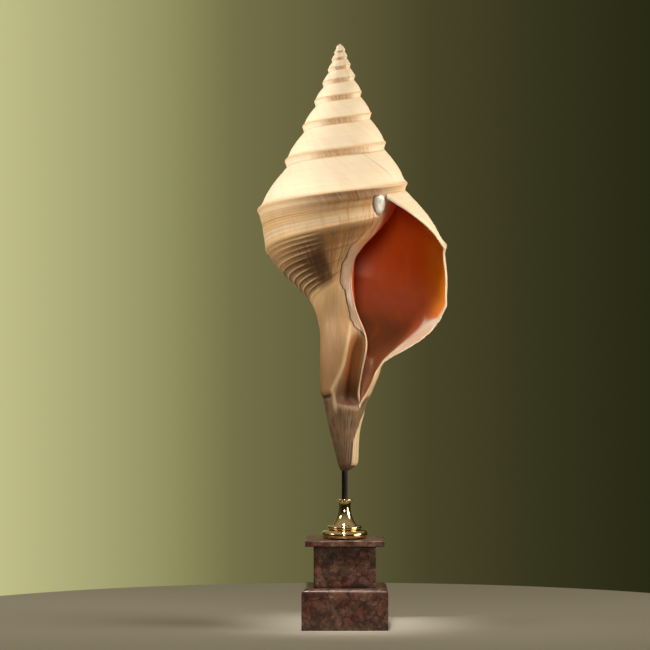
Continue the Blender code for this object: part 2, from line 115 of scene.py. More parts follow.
# Share of the base's width lost (second value) at a share of its height (first).
BASE_BEHIND = ((0, 0), (0.14, 0.15), (0.28, 0.34), (0.41, 0.59), (0.56, 0.84), (0.71, 0.96), (0.88, 0.99),
               (1, 1))
BASE_AT_LIP = ((0, 0), (0.20, 0.11), (0.37, 0.26), (0.49, 0.41), (0.61, 0.61), (0.71, 0.82),
               (0.80, 0.94), (0.92, 0.985), (1, 1))
# Height and radius of the neck and canal on the side away from the mouth, and on its own side.
NECK_LEFT = ((0.1838, 0.0045), (0.1866, 0.0068), (0.196, 0.0092), (0.2078, 0.0122), (0.2254, 0.0171),
             (0.2407, 0.0205), (0.2577, 0.0244), (0.2689, 0.0270), (0.2736, 0.0306), (0.3019, 0.0312),
             (0.3254, 0.0312), (0.3489, 0.0292), (0.3607, 0.0272), (0.40, 0.0240))
NECK_RIGHT = ((0.1838, 0.0036), (0.1850, 0.0064), (0.1893, 0.0128), (0.196, 0.0142), (0.2078, 0.0145),
              (0.2242, 0.0152), (0.2372, 0.0172), (0.2548, 0.0222), (0.2666, 0.0256), (0.2736, 0.0272),
              (0.3019, 0.0312), (0.3254, 0.0312), (0.3489, 0.0292), (0.3607, 0.0272), (0.40, 0.0240))
# Height and radius of the inner lip's free edge, beside the canal.
INNER_LIP = ((0.2577, 0.0240), (0.2666, 0.0190), (0.276, 0.0180), (0.2913, 0.0210), (0.3089, 0.0253),
             (0.3301, 0.0313), (0.3419, 0.0320), (0.3489, 0.0290), (0.363, 0.0225), (0.38, 0.0185),
             (0.404, 0.0160), (0.424, 0.0165))
# Turn of the outer lip's edge, by share of the way down the ramp.
LIP_TURNS = ((0.0, 0.130), (0.30, 0.098), (0.70, 0.058), (1.0, 0.045))
# How far the inner edge has moved from the suture to the canal, by row.
INNER_SHARES = ((2.0, 0.0), (3.0, 0.103), (3.62, 0.862), (4.0, 1.0))
# Height and x of the left edge of the callus that is laid on the pillar and the wall above it.
CALLUS_EDGE = ((0.3404, 0.0252), (0.3472, 0.0191), (0.3525, 0.0122), (0.3633, 0.0069), (0.3795, 0.0042),
               (0.3958, 0.0002), (0.4052, -0.0052), (0.4133, -0.0045), (0.4254, -0.0025), (0.4323, 0.0015),
               (0.443, 0.0056), (0.4713, 0.0322), (0.483, 0.0334), (0.492, 0.0325), (0.503, 0.0346),
               (0.509, 0.0410))


def smooth(value, low=0.0, high=1.0):
    """Smooth step of an array, from 0 at low to 1 at high."""
    value = np.clip((np.asarray(value, float) - low) / (high - low), 0.0, 1.0)
    return value * value * (3.0 - 2.0 * value)


def table(points, at):
    """Read a short list of pairs as a curve."""
    xs, ys = zip(*points)
    return np.interp(at, xs, ys)


def hump(value, middle, width):
    """Bell curve, 1 at the middle."""
    return np.exp(-((value - middle) / width) ** 2)


def ripple(at, waves, seed):
    """Smooth irregular wave, about -1 to 1: a sum of sines of unlike lengths and phases."""
    rng = np.random.default_rng(seed)
    total = np.zeros_like(np.asarray(at, float))
    for length, weight in waves:
        total = total + weight * np.sin(2.0 * math.pi * (np.asarray(at) / length + rng.random()))
    return total / sum(weight for length, weight in waves)


# ---------------------------------------------------------------- the shell's form

def axis_x(height):
    """The shell's axis: upright in the spire, then bent to stand over the rod at the tip."""
    return (SPIRE_X + (NECK_X - SPIRE_X) * smooth(SPIRE_END - height, 0.0, SPIRE_END - NECK_START)
            + (CANAL_X - NECK_X) * smooth(NECK_END - height, 0.0, NECK_END - CANAL_START))


def keel(turn):
    """Radius and height of the shoulder keel: a spiral that widens and falls by a power a turn."""
    late = np.maximum(turn + 1.0, 0.0) ** 2
    depth = KEEL_DEPTH * np.exp(DEPTH_RATE * (turn + 1.0)) + LAST_DROP * late
    radius = KEEL_RADIUS * np.exp(RADIUS_RATE * (turn + 1.0) + LAST_FLARE * late) + 0.0007
    return radius, APEX_POLE - depth


def below_keel(turn):
    """Foot of the small step under the keel, where the next whorl is laid on."""
    radius, height = keel(turn)
    drop = STEP_DROP * (1.0 - np.exp(-(APEX_POLE - height) / STEP_SCALE))
    return radius - STEP_SLOPE * drop, height - drop


def second_keel(turn):
    """Radius and height of the blunt second keel, below the shoulder."""
    radius, height = keel(turn)
    return (radius * (0.988 + 0.176 * np.minimum(turn, 0.05)),
            height - SECOND_KEEL_GAP * np.exp(SECOND_KEEL_RATE * turn))


def neck_radius(turn, height):
    """Radius of the neck and canal: it winds out from the inner lip's edge to the outer lip."""
    lit = 0.5 + 0.5 * np.cos(2.0 * math.pi * turn)
    plain = table(NECK_LEFT, height) * (1.0 - lit) + table(NECK_RIGHT, height) * lit
    open_canal = smooth(height, CANAL_END, CANAL_END + 0.012)
    flare = 0.62 * np.clip((height - CANAL_END) / (0.3019 - CANAL_END), 0.0, 1.15)
    outward = np.clip((turn + 0.5) / (LIP_AT_CANAL + 0.5), 0.0, 1.0) ** 4.5 * flare * open_canal
    inward = smooth(-0.55 - turn, 0.0, 0.34) * open_canal
    free_edge = table(INNER_LIP, height)
    column = PILLAR_RADIUS + (free_edge - PILLAR_RADIUS) * np.exp(np.minimum(0.0, turn + 0.9) / 0.05)
    return plain * (1.0 + outward) * (1.0 - inward) + column * inward


def hollow(turn, height):
    """Depth of the hollow between the inner lip's edge and the ridge of old canals."""
    angle = 360.0 * ((-turn) % 1.0) - 360.0
    share = (HOLLOW_TOP - height) / (HOLLOW_TOP - HOLLOW_END)
    left = HOLLOW_LEFT - HOLLOW_SPREAD * np.clip(share, 0.0, 1.0) ** 1.3
    across = np.clip((angle - HOLLOW_RIGHT) / (left - HOLLOW_RIGHT), 0.0, 1.0)
    along = smooth(share, 0.0, 0.35) * smooth(1.0 - share, 0.0, 0.12)
    return np.where(height < HOLLOW_TOP, HOLLOW_DEPTH * along * np.sin(math.pi * across ** 0.6) ** 0.9, 0.0)


def section(turn, down):
    """Radius and height of the whorl's section at a turn and a row, both arrays of one shape."""
    turn, down = np.broadcast_arrays(np.asarray(turn, float), np.asarray(down, float))
    top_radius, top = below_keel(turn - 1.0)
    keel_radius, keel_height = keel(turn)
    step_radius, step = below_keel(turn)
    second_radius, second = second_keel(turn)
    neck_top = NECK_TOP - NECK_FALL * (turn + 0.5) + NECK_RISE * np.maximum(-0.5 - turn, 0.0) ** 2
    end_radius = neck_radius(turn, neck_top)
    kind = np.clip(np.ceil(down) - 1, RAMP, TIP).astype(int)
    share = down - kind
    slope = keel_radius - top_radius
    ramp = (top_radius + slope * share + RAMP_BULGE * slope * np.sin(math.pi * np.minimum(share / 0.9, 1.0)),
            top + (keel_height - top) * share)
    under = (keel_radius + (step_radius - keel_radius) * share, keel_height + (step - keel_height) * share)
    belly = (step_radius + (second_radius - step_radius) * share
             + 0.0026 * (2.2 * turn + 1.0) / 1.1 * np.sin(math.pi * share), step + (second - step) * share)
    near_lip = smooth(turn + 0.5, 0.0, 0.55)
    lost = table(BASE_BEHIND, share) * (1.0 - near_lip) + table(BASE_AT_LIP, share) * near_lip
    base = second_radius + (end_radius - second_radius) * lost, second + (neck_top - second) * share
    low = neck_top + (CANAL_END - neck_top) * share
    neck = neck_radius(turn, low), low
    lower = CANAL_END + (SHELL_TIP - CANAL_END) * share
    tip = neck_radius(turn, lower), lower
    parts = zip(ramp, under, belly, base, neck, tip)
    return [np.choose(kind, part) for part in parts]


def lip_turn(down):
    """Turn of the outer lip's edge: forward at the suture, back at the shoulder, forward at the canal."""
    on_base = LIP_AT_STEP + (LIP_AT_CANAL - LIP_AT_STEP) * smooth(np.clip(down - BASE, 0.0, 1.0) ** 1.6)
    on_step = table(LIP_TURNS, down) + (LIP_AT_STEP - LIP_TURNS[-1][1]) * np.clip(down - STEP, 0.0, 1.0)
    return np.where(down <= BELLY, on_step, on_base)


def inner_turn(down):
    """Turn at which the inner wall leaves the whorl before, on the pillar's side."""
    return SUTURE_LIP + (LIP_AT_CANAL - SUTURE_LIP) * smooth(table(INNER_SHARES, down)) - 1.0


def place(turn, radius, height):
    """Points at a turn, clockwise from above, with turn 0 at +X."""
    angle = -2.0 * math.pi * turn
    return np.stack((axis_x(height) + radius * np.cos(angle), radius * np.sin(angle), height), axis=-1)


def rounded(points, rounds):
    """Ease the corners of a section: each row becomes the mean of itself and its neighbours."""
    for _ in range(rounds):
        points[:, 1:-1] = 0.25 * points[:, :-2] + 0.5 * points[:, 1:-1] + 0.25 * points[:, 2:]
    return points


def unit(vectors):
    """Vectors brought to length 1, with none left as none."""
    return vectors / np.maximum(np.linalg.norm(vectors, axis=-1, keepdims=True), 1e-12)


def outward(points):
    """Unit normals of a grid of points, whose first axis is growth and second runs down."""
    return unit(np.cross(np.gradient(points, axis=0), np.gradient(points, axis=1)))


def walked(points, axis):
    """Length walked along one axis of a grid of points, from its first point."""
    steps = np.linalg.norm(np.diff(points, axis=axis), axis=-1)
    return np.insert(np.cumsum(steps, axis=axis), 0, 0.0, axis=axis)


def relief(points, growth, turn, down):
    """Height of the fine sculpture above the plain form, in metres.

    Rounded cords on both keels, a faint hollow above the shoulder keel, narrow cords on the base,
    faint spiral swells, growth wrinkles and knobs on the first whorls, all scaled by the whorl."""
    run = walked(points, 1)
    size = keel(turn)[0]
    at_keel = np.take_along_axis(run, np.argmin(abs(down - STEP), axis=1)[:, None], axis=1)
    from_keel = (run - at_keel) / size
    weld = smooth(down, 0.0, 0.06) * np.where(down <= BELLY, smooth(BELLY - down, 0.0, 0.25), 1.0)
    height = size * (0.013 * hump(from_keel, 0.0, 0.030) - 0.006 * hump(from_keel, -0.10, 0.05))
    height += size * 0.009 * np.where(down > 1.5, hump(down, BASE, 0.10), 0.0)
    height *= 1.0 - 0.75 * smooth(growth, 0.90, 1.0)
    knobs = smooth(-3.6 - turn, 0.0, 1.5) * np.cos(2.0 * math.pi * 13.0 * turn + 1.5 * np.sin(9.0 * turn))
    height += size * 0.030 * knobs * hump(from_keel, -0.03, 0.11)
    share = down - BASE
    worn = 1.0 - smooth(CORDS_FADE + CORDS_LOWER * smooth(share, 0.15, 0.35) - turn, 0.0, FADE_RUN)
    crest = (0.5 + 0.5 * np.cos(2.0 * math.pi * share * CORDS / CORD_REACH)) ** 3.0
    cords = smooth(share, 0.0, 0.05) * smooth(CORD_REACH + 0.04 - share, 0.0, 0.14)
    cords = cords * (1.0 - 0.75 * hump(turn, LEFT_TURN, 0.10) * (1.0 - smooth(share, 0.16, 0.34)))
    cords = cords * (1.0 - 0.7 * smooth(growth, 0.86, 0.98))
    height -= CORD_DEPTH * (1.0 - crest) * cords * worn * smooth(turn + 1.0, 0.0, 0.1)
    swells = np.sin(2.0 * math.pi * 5.0 * down) * np.where(down < STEP, 1.0, 0.5) * (down < BASE)
    height += size * 0.0011 * swells * (0.4 + 0.6 * ripple(growth + down, ((0.31, 1), (0.17, 1)), 5))
    healed = sum(hump(growth + 0.002 * np.sin(9.0 * down), scar, 0.004) for scar in SCARS)
    height -= size * 0.006 * healed * (down < 4.5)
    wrinkles = ripple(growth + 0.004 * np.sin(7.0 * down), ((0.021, 1.0), (0.0137, 0.8), (0.047, 1.0)), 11)
    return (height + size * 0.0016 * wrinkles) * weld


def growth_grid(growth, down):
    """Points, turns, rows and growth of the outside on a grid of growth lines.

    A growth line keeps the lip's slant: its turn at a row is the lip's turn there, less the growth
    still to come. Below the step the columns crowd together towards the inner wall."""
    lip, inner = lip_turn(down), inner_turn(down)
    share = np.clip((growth[:, None] - SLANT) / (1.0 - SLANT), 0.0, 1.0)
    fanned = inner + (lip - inner) * share ** (1.0 + 0.45 * smooth(down - BELLY, 0.0, 0.5))
    turn = np.where(down > BELLY, fanned, lip - 1.0 + growth[:, None])
    rows = np.broadcast_to(down, turn.shape)
    radius, height = section(turn, rows)
    radius = radius - hollow(turn, height) * (down > BELLY)
    return place(turn, radius, height), turn, rows, turn + 1.0 - lip


def sculpted(points, lines, turn, rows):
    """The plain form with its corners eased and its relief added along the normals."""
    edges = points[:, [0]].copy()
    points = rounded(points.copy(), EASED)
    points[:, [0]] = edges
    normals = outward(points)
    return points + normals * relief(points, lines, turn, rows)[..., None]


# ---------------------------------------------------------------- the shader toolkit

class Signal:
    """A socket of a material or the world. Sums and products written with it become Math nodes."""

    def __init__(self, finish, socket):
        self.finish = finish
        self.socket = socket

    def maths(self, operation, *others):
        """This signal and others put through a Math node."""
        values = dict(enumerate((self,) + others))
        node = self.finish.node("ShaderNodeMath", {"operation": operation}, values)
        return Signal(self.finish, node.outputs[0])

    __add__ = __radd__ = partialmethod(maths, "ADD")
    __mul__ = __rmul__ = partialmethod(maths, "MULTIPLY")
    __sub__ = partialmethod(maths, "SUBTRACT")
    __truediv__ = partialmethod(maths, "DIVIDE")
    __neg__ = partialmethod(maths, "MULTIPLY", -1.0)

    def __rsub__(self, other):
        return self.maths("MULTIPLY_ADD", -1.0, other)

    def smooth(self, low, high, kind="SMOOTHSTEP"):
        """Smooth step from 0 at low to 1 at high, or a straight one."""
        ends = {"Value": self, "From Min": low, "From Max": high}
        node = self.finish.node("ShaderNodeMapRange", {"interpolation_type": kind}, ends)
        return Signal(self.finish, node.outputs["Result"])

    def fade(self, low, high):
        """Smooth step from 1 at low to 0 at high."""
        return 1.0 - self.smooth(low, high)

    def band(self, low, high, soft):
        """1 between low and high, fading over a soft edge outside each."""
        return self.smooth(low - soft, low) * self.fade(high, high + soft)

    def hump(self, middle, width):
        """Bell curve, 1 at the middle."""
        away = (self - middle) / width
        return (-(away * away)).maths("EXPONENT")

    def wave(self, length):
        """Sine wave of a length, from 0 to 1."""
        return 0.5 + 0.5 * (self * (2.0 * math.pi / length)).maths("SINE")


class Finish:
    """A material, or the world, being made: its nodes are added by node()."""

    def __init__(self, owner):
        self.owner = owner
        owner.use_nodes = True
        self.tree = owner.node_tree

    def give(self, socket, value):
        """Link a signal to a socket, or set the socket's own value."""
        if isinstance(value, Signal):
            self.tree.links.new(value.socket, socket)
        else:
            socket.default_value = value

    def node(self, kind, settings=None, values=None):
        """Add a node of a type: its settings first, then the values or links of its sockets."""
        made = self.tree.nodes.new(kind)
        for key, value in (settings or {}).items():
            setattr(made, key, value)
        for key, value in (values or {}).items():
            self.give(made.inputs[key], value)
        return made

    def split(self, vector):
        """The three parts of a vector."""
        node = self.node("ShaderNodeSeparateXYZ", None, {"Vector": vector})
        return [Signal(self, socket) for socket in node.outputs]

    def join(self, x, y, z):
        """A vector of three parts."""
        return Signal(self, self.node("ShaderNodeCombineXYZ", None, {"X": x, "Y": y, "Z": z}).outputs[0])

    def values(self, name):
        """The three parts of a value kept at the mesh's corners."""
        node = self.node("ShaderNodeAttribute", {"attribute_name": name})
        return self.split(Signal(self, node.outputs["Vector"]))

    def place(self, kind="Object"):
        """Texture coordinates: of the object, or generated ones for the world."""
        return Signal(self, self.node("ShaderNodeTexCoord").outputs[kind])

    def noise(self, vector, scale, detail=3.0, roughness=0.55):
        """Fractal noise, about 0.25 to 0.75."""
        node = self.node("ShaderNodeTexNoise", None, {"Vector": vector, "Scale": scale, "Detail": detail,
                                                      "Roughness": roughness})
        return Signal(self, node.outputs["Fac"])

    def lines(self, across, along, seed, detail=3.0):
        """Noise drawn out into lines: fine across, long along."""
        return self.noise(self.join(across, along, seed), 1.0, detail)

    def warped(self, vector, scale, amount):
        """A vector pushed about by noise."""
        push = self.node("ShaderNodeTexNoise", None, {"Vector": vector, "Scale": scale, "Detail": 2.0})
        centred = self.vector_maths("SUBTRACT", Signal(self, push.outputs["Color"]), (0.5, 0.5, 0.5))
        return self.vector_maths("ADD", vector, self.vector_maths("SCALE", centred, amount))

    def vector_maths(self, operation, first, second):
        """Two vectors, or a vector and the number that scales it, put through a Vector Math node."""
        key = "Scale" if operation == "SCALE" else 1
        node = self.node("ShaderNodeVectorMath", {"operation": operation}, {0: first, key: second})
        return Signal(self, node.outputs["Vector"])

    def veins(self, vector, scale, width):
        """Thin lines between the cells of a Voronoi pattern, 1 on the line."""
        node = self.node("ShaderNodeTexVoronoi", {"feature": "DISTANCE_TO_EDGE"},
                         {"Vector": vector, "Scale": scale})
        return Signal(self, node.outputs["Distance"]).fade(0.0, width)

    def mix(self, first, second, share):
        """A colour between two colours."""
        node = self.node("ShaderNodeMix", {"data_type": "RGBA", "clamp_factor": True},
                         {0: share, 6: first, 7: second})
        return Signal(self, node.outputs[2])

    def painted(self, colour, *layers):
        """A colour with layers (colour, share) laid over it, one after another."""
        for layer, share in layers:
            colour = self.mix(colour, layer, share)
        return colour

    def ramp(self, share, stops):
        """A colour read from stops (position, colour), the first at 0 and the last at 1."""
        node = self.node("ShaderNodeValToRGB", None, {"Fac": share})
        elements = node.color_ramp.elements
        for position, _ in stops[1:-1]:
            elements.new(position)
        for element, (_, colour) in zip(elements, stops):
            element.color = colour
        return Signal(self, node.outputs["Color"])

    def bump(self, height, depth):
        """A normal bent by a height of 0 to 1, which stands for a depth in metres."""
        node = self.node("ShaderNodeBump", None, {"Strength": 1.0, "Distance": depth, "Height": height})
        return Signal(self, node.outputs["Normal"])

    def done(self, shader="Principled BSDF", **values):
        """Give the last shader its colour, roughness, normal and constants; returns the owner."""
        for key, value in values.items():
            self.give(self.tree.nodes[shader].inputs[key.replace("_", " ").title()], value)
        return self.owner


def tint(red, green, blue):
    """A colour of 0 to 255 on a screen, as light."""
    return tuple((part / 255.0) ** 2.2 for part in (red, green, blue)) + (1.0,)


# ---------------------------------------------------------------- finishes of the shell

IVORY = tint(244, 229, 202)
TAN = tint(218, 180, 130)
UNDER_TAN = tint(240, 210, 166)
UNDER_BROWN = tint(146, 108, 68)
BROWN = tint(120, 80, 44)
DARK_BROWN = tint(76, 46, 24)
# rust colour, also laid as painted shade on the front of the spire's steps and along the sutures
RUST_AND_SHADE = tint(182, 124, 64)
CRACK = tint(48, 30, 18)
PINK_WHITE = tint(174, 150, 126)
GREY_TAN = tint(188, 150, 112)
PEARL = tint(250, 250, 246)
HOLLOW_BROWN = tint(150, 92, 44)
RIDGE_CREAM = tint(232, 204, 158)
WORN_GREY = tint(130, 106, 80)
WORN_DARK = tint(92, 66, 50)
LIP_WHITE = tint(252, 236, 214)
ORANGE = tint(255, 152, 22)
DEEP_RED = tint(222, 90, 32)
PILLAR_PINK = tint(204, 92, 54)
LOW_PURPLE = tint(212, 120, 86)
CANAL_RED = tint(190, 122, 84)
CANAL_BROWN = tint(150, 96, 64)
GROWTH_RED = tint(150, 44, 14)
LIP_PINK = tint(240, 208, 180)
PEARL_GREY = tint(170, 166, 156)


def groove_share(down, turn, shaded_side):
    """Share of dark in the grooves between the cords of the base, full where the chalk has worn off, and
    stronger on the front as painted shade.
    """
    groove = 0.5 - 0.5 * ((down - BASE) * (2.0 * math.pi * CORDS / CORD_REACH)).maths("COSINE")
    lower = down.smooth(3.16, 3.30)
    grooves = groove.smooth(0.25 - 0.24 * lower, 0.55 - 0.27 * lower)
    # painted shade: the grooves darker on the front, where the lamps leave it in shade
    grooves = grooves * (0.40 + 0.60 * lower.maths("MAXIMUM", shaded_side))
    grooves = grooves * (1.0 - (0.35 + 0.5 * down.fade(3.16, 3.34)) * turn.hump(LEFT_TURN, 0.08))
    worn_off = (CORDS_FADE + CORDS_LOWER * down.smooth(3.15, 3.35) - turn).smooth(0.0, FADE_RUN)
    return grooves.maths("MAXIMUM", worn_off * 0.92)


def whorl_layers(track, z, fine, broad, threads, bands, cloud, dust):
    """Colours laid over the tan whorls: ivory ramps, painted shade under the spire's keels on their front
    with faint rust streaks, a brown shoulder on the last whorl that is mostly painted shade on its front,
    dark grooves between the cords deepened by painted shade on the front, painted shade on the left front of
    the base, a brown neck darker towards the bottom as painted shade, healed breaks and rusty specks."""
    growth, down, turn = track
    streak = fine.smooth(0.36, 0.64)
    thread = threads.smooth(0.35, 0.65)
    ramp = down.fade(0.90, 1.03)
    last = growth.smooth(-0.05, 0.05)
    under = down.smooth(0.98, 1.25) * down.fade(1.90, 2.30) * (1.0 - 0.6 * last)
    side = down.smooth(1.7, 2.1) * down.fade(3.6, 3.9)
    base = down.smooth(3.0, 3.10) * down.fade(3.57, 3.68)
    neck = down.smooth(3.60, 3.90)
    # shaded_side is painted shade: it darkens the front of each whorl, where the lamps leave it in shade,
    # and faintly the back
    shaded_side = turn.hump(-0.79, 0.11) + 0.35 * turn.hump(-0.35, 0.12)
    # marks the front of each whorl, where the spire's steps get painted shade and stay pale at the sides
    front_shade = ((turn + 0.76) * (2.0 * math.pi)).maths("COSINE").smooth(0.72, 0.98)
    # the brown shoulder under the last whorl's keel is mostly painted shade on its front, with a faint brown
    # band elsewhere
    shoulder = down.smooth(0.96, 1.06) * (1.0 - 0.6 * down.smooth(2.08, 2.22)) * down.fade(2.36, 2.52)
    shoulder = shoulder * last * (0.05 + 0.95 * shaded_side)
    fibrous = turn.band(-0.95, -0.722, 0.030)
    dark = base * groove_share(down, turn, shaded_side) * (1.0 - 0.92 * fibrous)
    # belly is painted shade over the left front of the last whorl's base
    belly = turn.hump(-0.655, 0.060) * down.band(3.12, 3.46, 0.05) * (1.0 - 0.5 * fibrous) * last
    scars = sum((growth.hump(scar, 0.0016) for scar in SCARS[1:]), growth.hump(SCARS[0], 0.0016))
    suture = down.hump(0.0, 0.035) + down.hump(2.0, 0.05) * (1.0 - side * 0.5)
    return ((IVORY, ramp),
            (IVORY, under * 0.85),
            # painted shade on the front of the spire's steps, laid in the rust colour
            (RUST_AND_SHADE, under * (1.0 - last) * front_shade * (0.42 + 0.34 * streak)),
            # brown shoulder, mostly painted shade
            (BROWN, shoulder * (0.76 + 0.24 * streak)),
            (BROWN, bands.smooth(0.52, 0.66) * side * 0.45),
            (IVORY, down.hump(2.72, 0.16) * 0.40),
            # brown under the second keel, deepened on the front as painted shade
            (BROWN, down.hump(3.08, 0.09) * (0.30 + 0.50 * shaded_side) * last),
            (BROWN, base * fibrous * (0.30 + 0.50 * streak)),
            (DARK_BROWN, dark * (0.86 + 0.14 * streak)),
            # painted shade on the base's left front
            (DARK_BROWN, belly * (0.40 + 0.35 * streak)),
            (RUST_AND_SHADE, streak * broad.smooth(0.42, 0.6) * side * (0.20 + 0.35 * fibrous)),
            (RUST_AND_SHADE, streak * under * 0.10),
            (UNDER_TAN, thread * ramp * 0.30),
            (TAN, broad.smooth(0.45, 0.7) * ramp * 0.14),
            (BROWN, thread * side * 0.18),
            (UNDER_BROWN, neck * (0.58 + 0.28 * broad.smooth(0.36, 0.70) * streak)),
            # the neck darker towards the bottom: painted shade
            (UNDER_BROWN, neck * z.fade(0.28, 0.36) * (0.80 + 0.2 * broad)),
            (BROWN, scars * (0.35 + 0.4 * cloud) * down.fade(0.5, 0.9)),
            # rust colour along the sutures, a dark joint, stronger on the front as painted shade
            (RUST_AND_SHADE, suture * (0.25 + 0.30 * front_shade)),
            (CANAL_RED, turn.fade(-5.2, -3.6) * dust.smooth(0.55, 0.66) * 0.22),
            (RUST_AND_SHADE, dust.smooth(0.64, 0.72) * 0.20 * (1.0 - ramp)))


def tip_layers(made, track, marks, z, worn, grain):
    """Colours laid over the whorls' lower end: the brown hollow with painted shade in its lower part, the
    worn grey tip with its streaks, and the pale ridge, rolled edge and lip beside them."""
    growth, down, _ = track
    pit, ridge, roll = marks
    old = made.painted(WORN_GREY,
                       (WORN_DARK, grain.smooth(0.34, 0.70) * 0.75),
                       (UNDER_BROWN, made.noise(made.place(), 95.0, 3.0).smooth(0.46, 0.62) * 0.40),
                       (WORN_DARK, z.fade(0.184, 0.236) * 0.45))
    return ((HOLLOW_BROWN, pit.smooth(0.08, 0.45) * 0.95),
            # painted shade in the lower part of the hollow
            (DARK_BROWN, pit.smooth(0.0, 0.14) * z.fade(0.270, 0.308) * 0.85),
            (old, worn * pit.fade(0.03, 0.2)),
            (RIDGE_CREAM, ridge.smooth(0.30, 1.0) * 0.42),
            (RIDGE_CREAM, (roll + (grain - 0.5) * 0.6).smooth(0.15, 0.80) * 0.80),
            (RIDGE_CREAM, down.smooth(3.60, 3.90) * growth.smooth(0.93, 0.985) * (1.0 - worn) * 0.75),
            (CRACK, (-ridge).smooth(0.15, 0.6) * 0.85))


def callus_layers(made, values, callus, crack_jag, crack, boss):
    """Colours laid over the wall beside the mouth: the pale callus, the crack and the brown halo along
    its left edge, and the pearly boss in the corner under the keel."""
    lap, own, nacre = values
    place = made.place()
    x, y, z = made.split(place)
    upper = z.band(0.449, 0.481, 0.006)
    pale = made.painted(PINK_WHITE,
                        (GREY_TAN, upper * 0.85),
                        (CANAL_RED, upper * lap.smooth(0.001, 0.008) * 0.55),
                        (WORN_GREY, made.noise(place, 130.0, 3.0).smooth(0.5, 0.75) * 0.25))
    halo = own * (lap + 0.0012 + crack_jag * 2.0).hump(0.0, 0.0016) * z.fade(0.455, 0.470)
    cloudy = made.noise(made.join(x * 420.0, y * 90.0, z * 160.0), 1.0, 4.0)
    beside = x.fade(NACRE[0] - 0.003, NACRE[0] + 0.002)
    return ((pale, callus * (1.0 - upper * 0.35)),
            (BROWN, halo * 0.35),
            (CRACK, crack * 0.95),
            (CRACK, nacre.hump(0.20, 0.075) * beside * 0.8),
            (made.mix(PEARL, PEARL_GREY, cloudy.smooth(0.48, 0.68) * 0.6), boss))


def shell_outside():
    """Chalky outside: ivory ramps with faint spiral threads, tan sides banded and streaked along the growth
    lines, with painted shade on their front, dark grooves between the cords of the base, a pale callus and a
    worn tip beside a hollow with painted shade low in it."""
    made = Finish(bpy.data.materials.new("shell_outside"))
    track, values, marks = (made.values(name) for name in ("track", "callus", "marks"))
    growth, down, turn = track
    lap, own, nacre = values
    place = made.place()
    x, y, z = made.split(place)

    fine = made.lines(growth * 150.0, z * 45.0, 1.7, 4.0)
    broad = made.lines(growth * 34.0, z * 22.0, 8.1, 3.0)
    threads = made.lines(down * 34.0, growth * 3.5, 4.4, 2.0)
    bands = made.lines(down * 13.0, growth * 0.8, 2.9, 2.0)
    cloud = made.noise(place, 26.0, 4.0)
    dust = made.noise(place, 420.0, 3.0)
    grain = made.noise(made.join(x * 250.0, y * 250.0, z * 48.0), 1.0, 4.0)

    worn = (z + 0.004 * cloud).fade(WORN_TOP, WORN_TOP + 0.009)
    worn = worn * (1.0 - (z + (turn.wave(1.0) - 0.5) * 0.004).smooth(WORN_TOP, WORN_TOP + 0.005) * 0.5)
    callus = own * lap.smooth(-0.0002, 0.0010)
    jag = (made.noise(place, 170.0, 3.0) - 0.5) * 0.0006 * (1.0 - z.smooth(0.470, 0.485) * 0.8)
    crack = own * (lap + 0.0005 + jag).hump(0.0, 0.00045) * (1.0 - 0.7 * z.band(0.441, 0.481, 0.006))
    crack = crack * z.fade(0.478, 0.486)
    boss = nacre.smooth(0.30, 0.48 + 0.35 * x.smooth(NACRE[0], NACRE[0] + 0.0065))
    colour = made.painted(TAN, *whorl_layers(track, z, fine, broad, threads, bands, cloud, dust),
                          *tip_layers(made, track, marks, z, worn, grain),
                          *callus_layers(made, values, callus, jag, crack, boss))

    side = down.smooth(1.7, 2.1) * down.fade(3.6, 3.9)
    height = (0.20 + 0.30 * side) * fine + threads * (0.30 * down.fade(0.90, 1.03) + 0.15 * side)
    height = height + 0.20 * dust + worn * 0.18 * grain
    height = height * (1.0 - callus * 0.85) - crack * 0.9
    return made.done(base_color=made.vector_maths("SCALE", colour, 0.84 + 0.10 * fine + 0.12 * cloud),
                     roughness=0.50 + 0.12 * dust - callus * 0.26 - boss * 0.06,
                     normal=made.bump(height, 0.0011),
                     coat_weight=(callus * 0.22).maths("MAXIMUM", boss), coat_roughness=0.12)


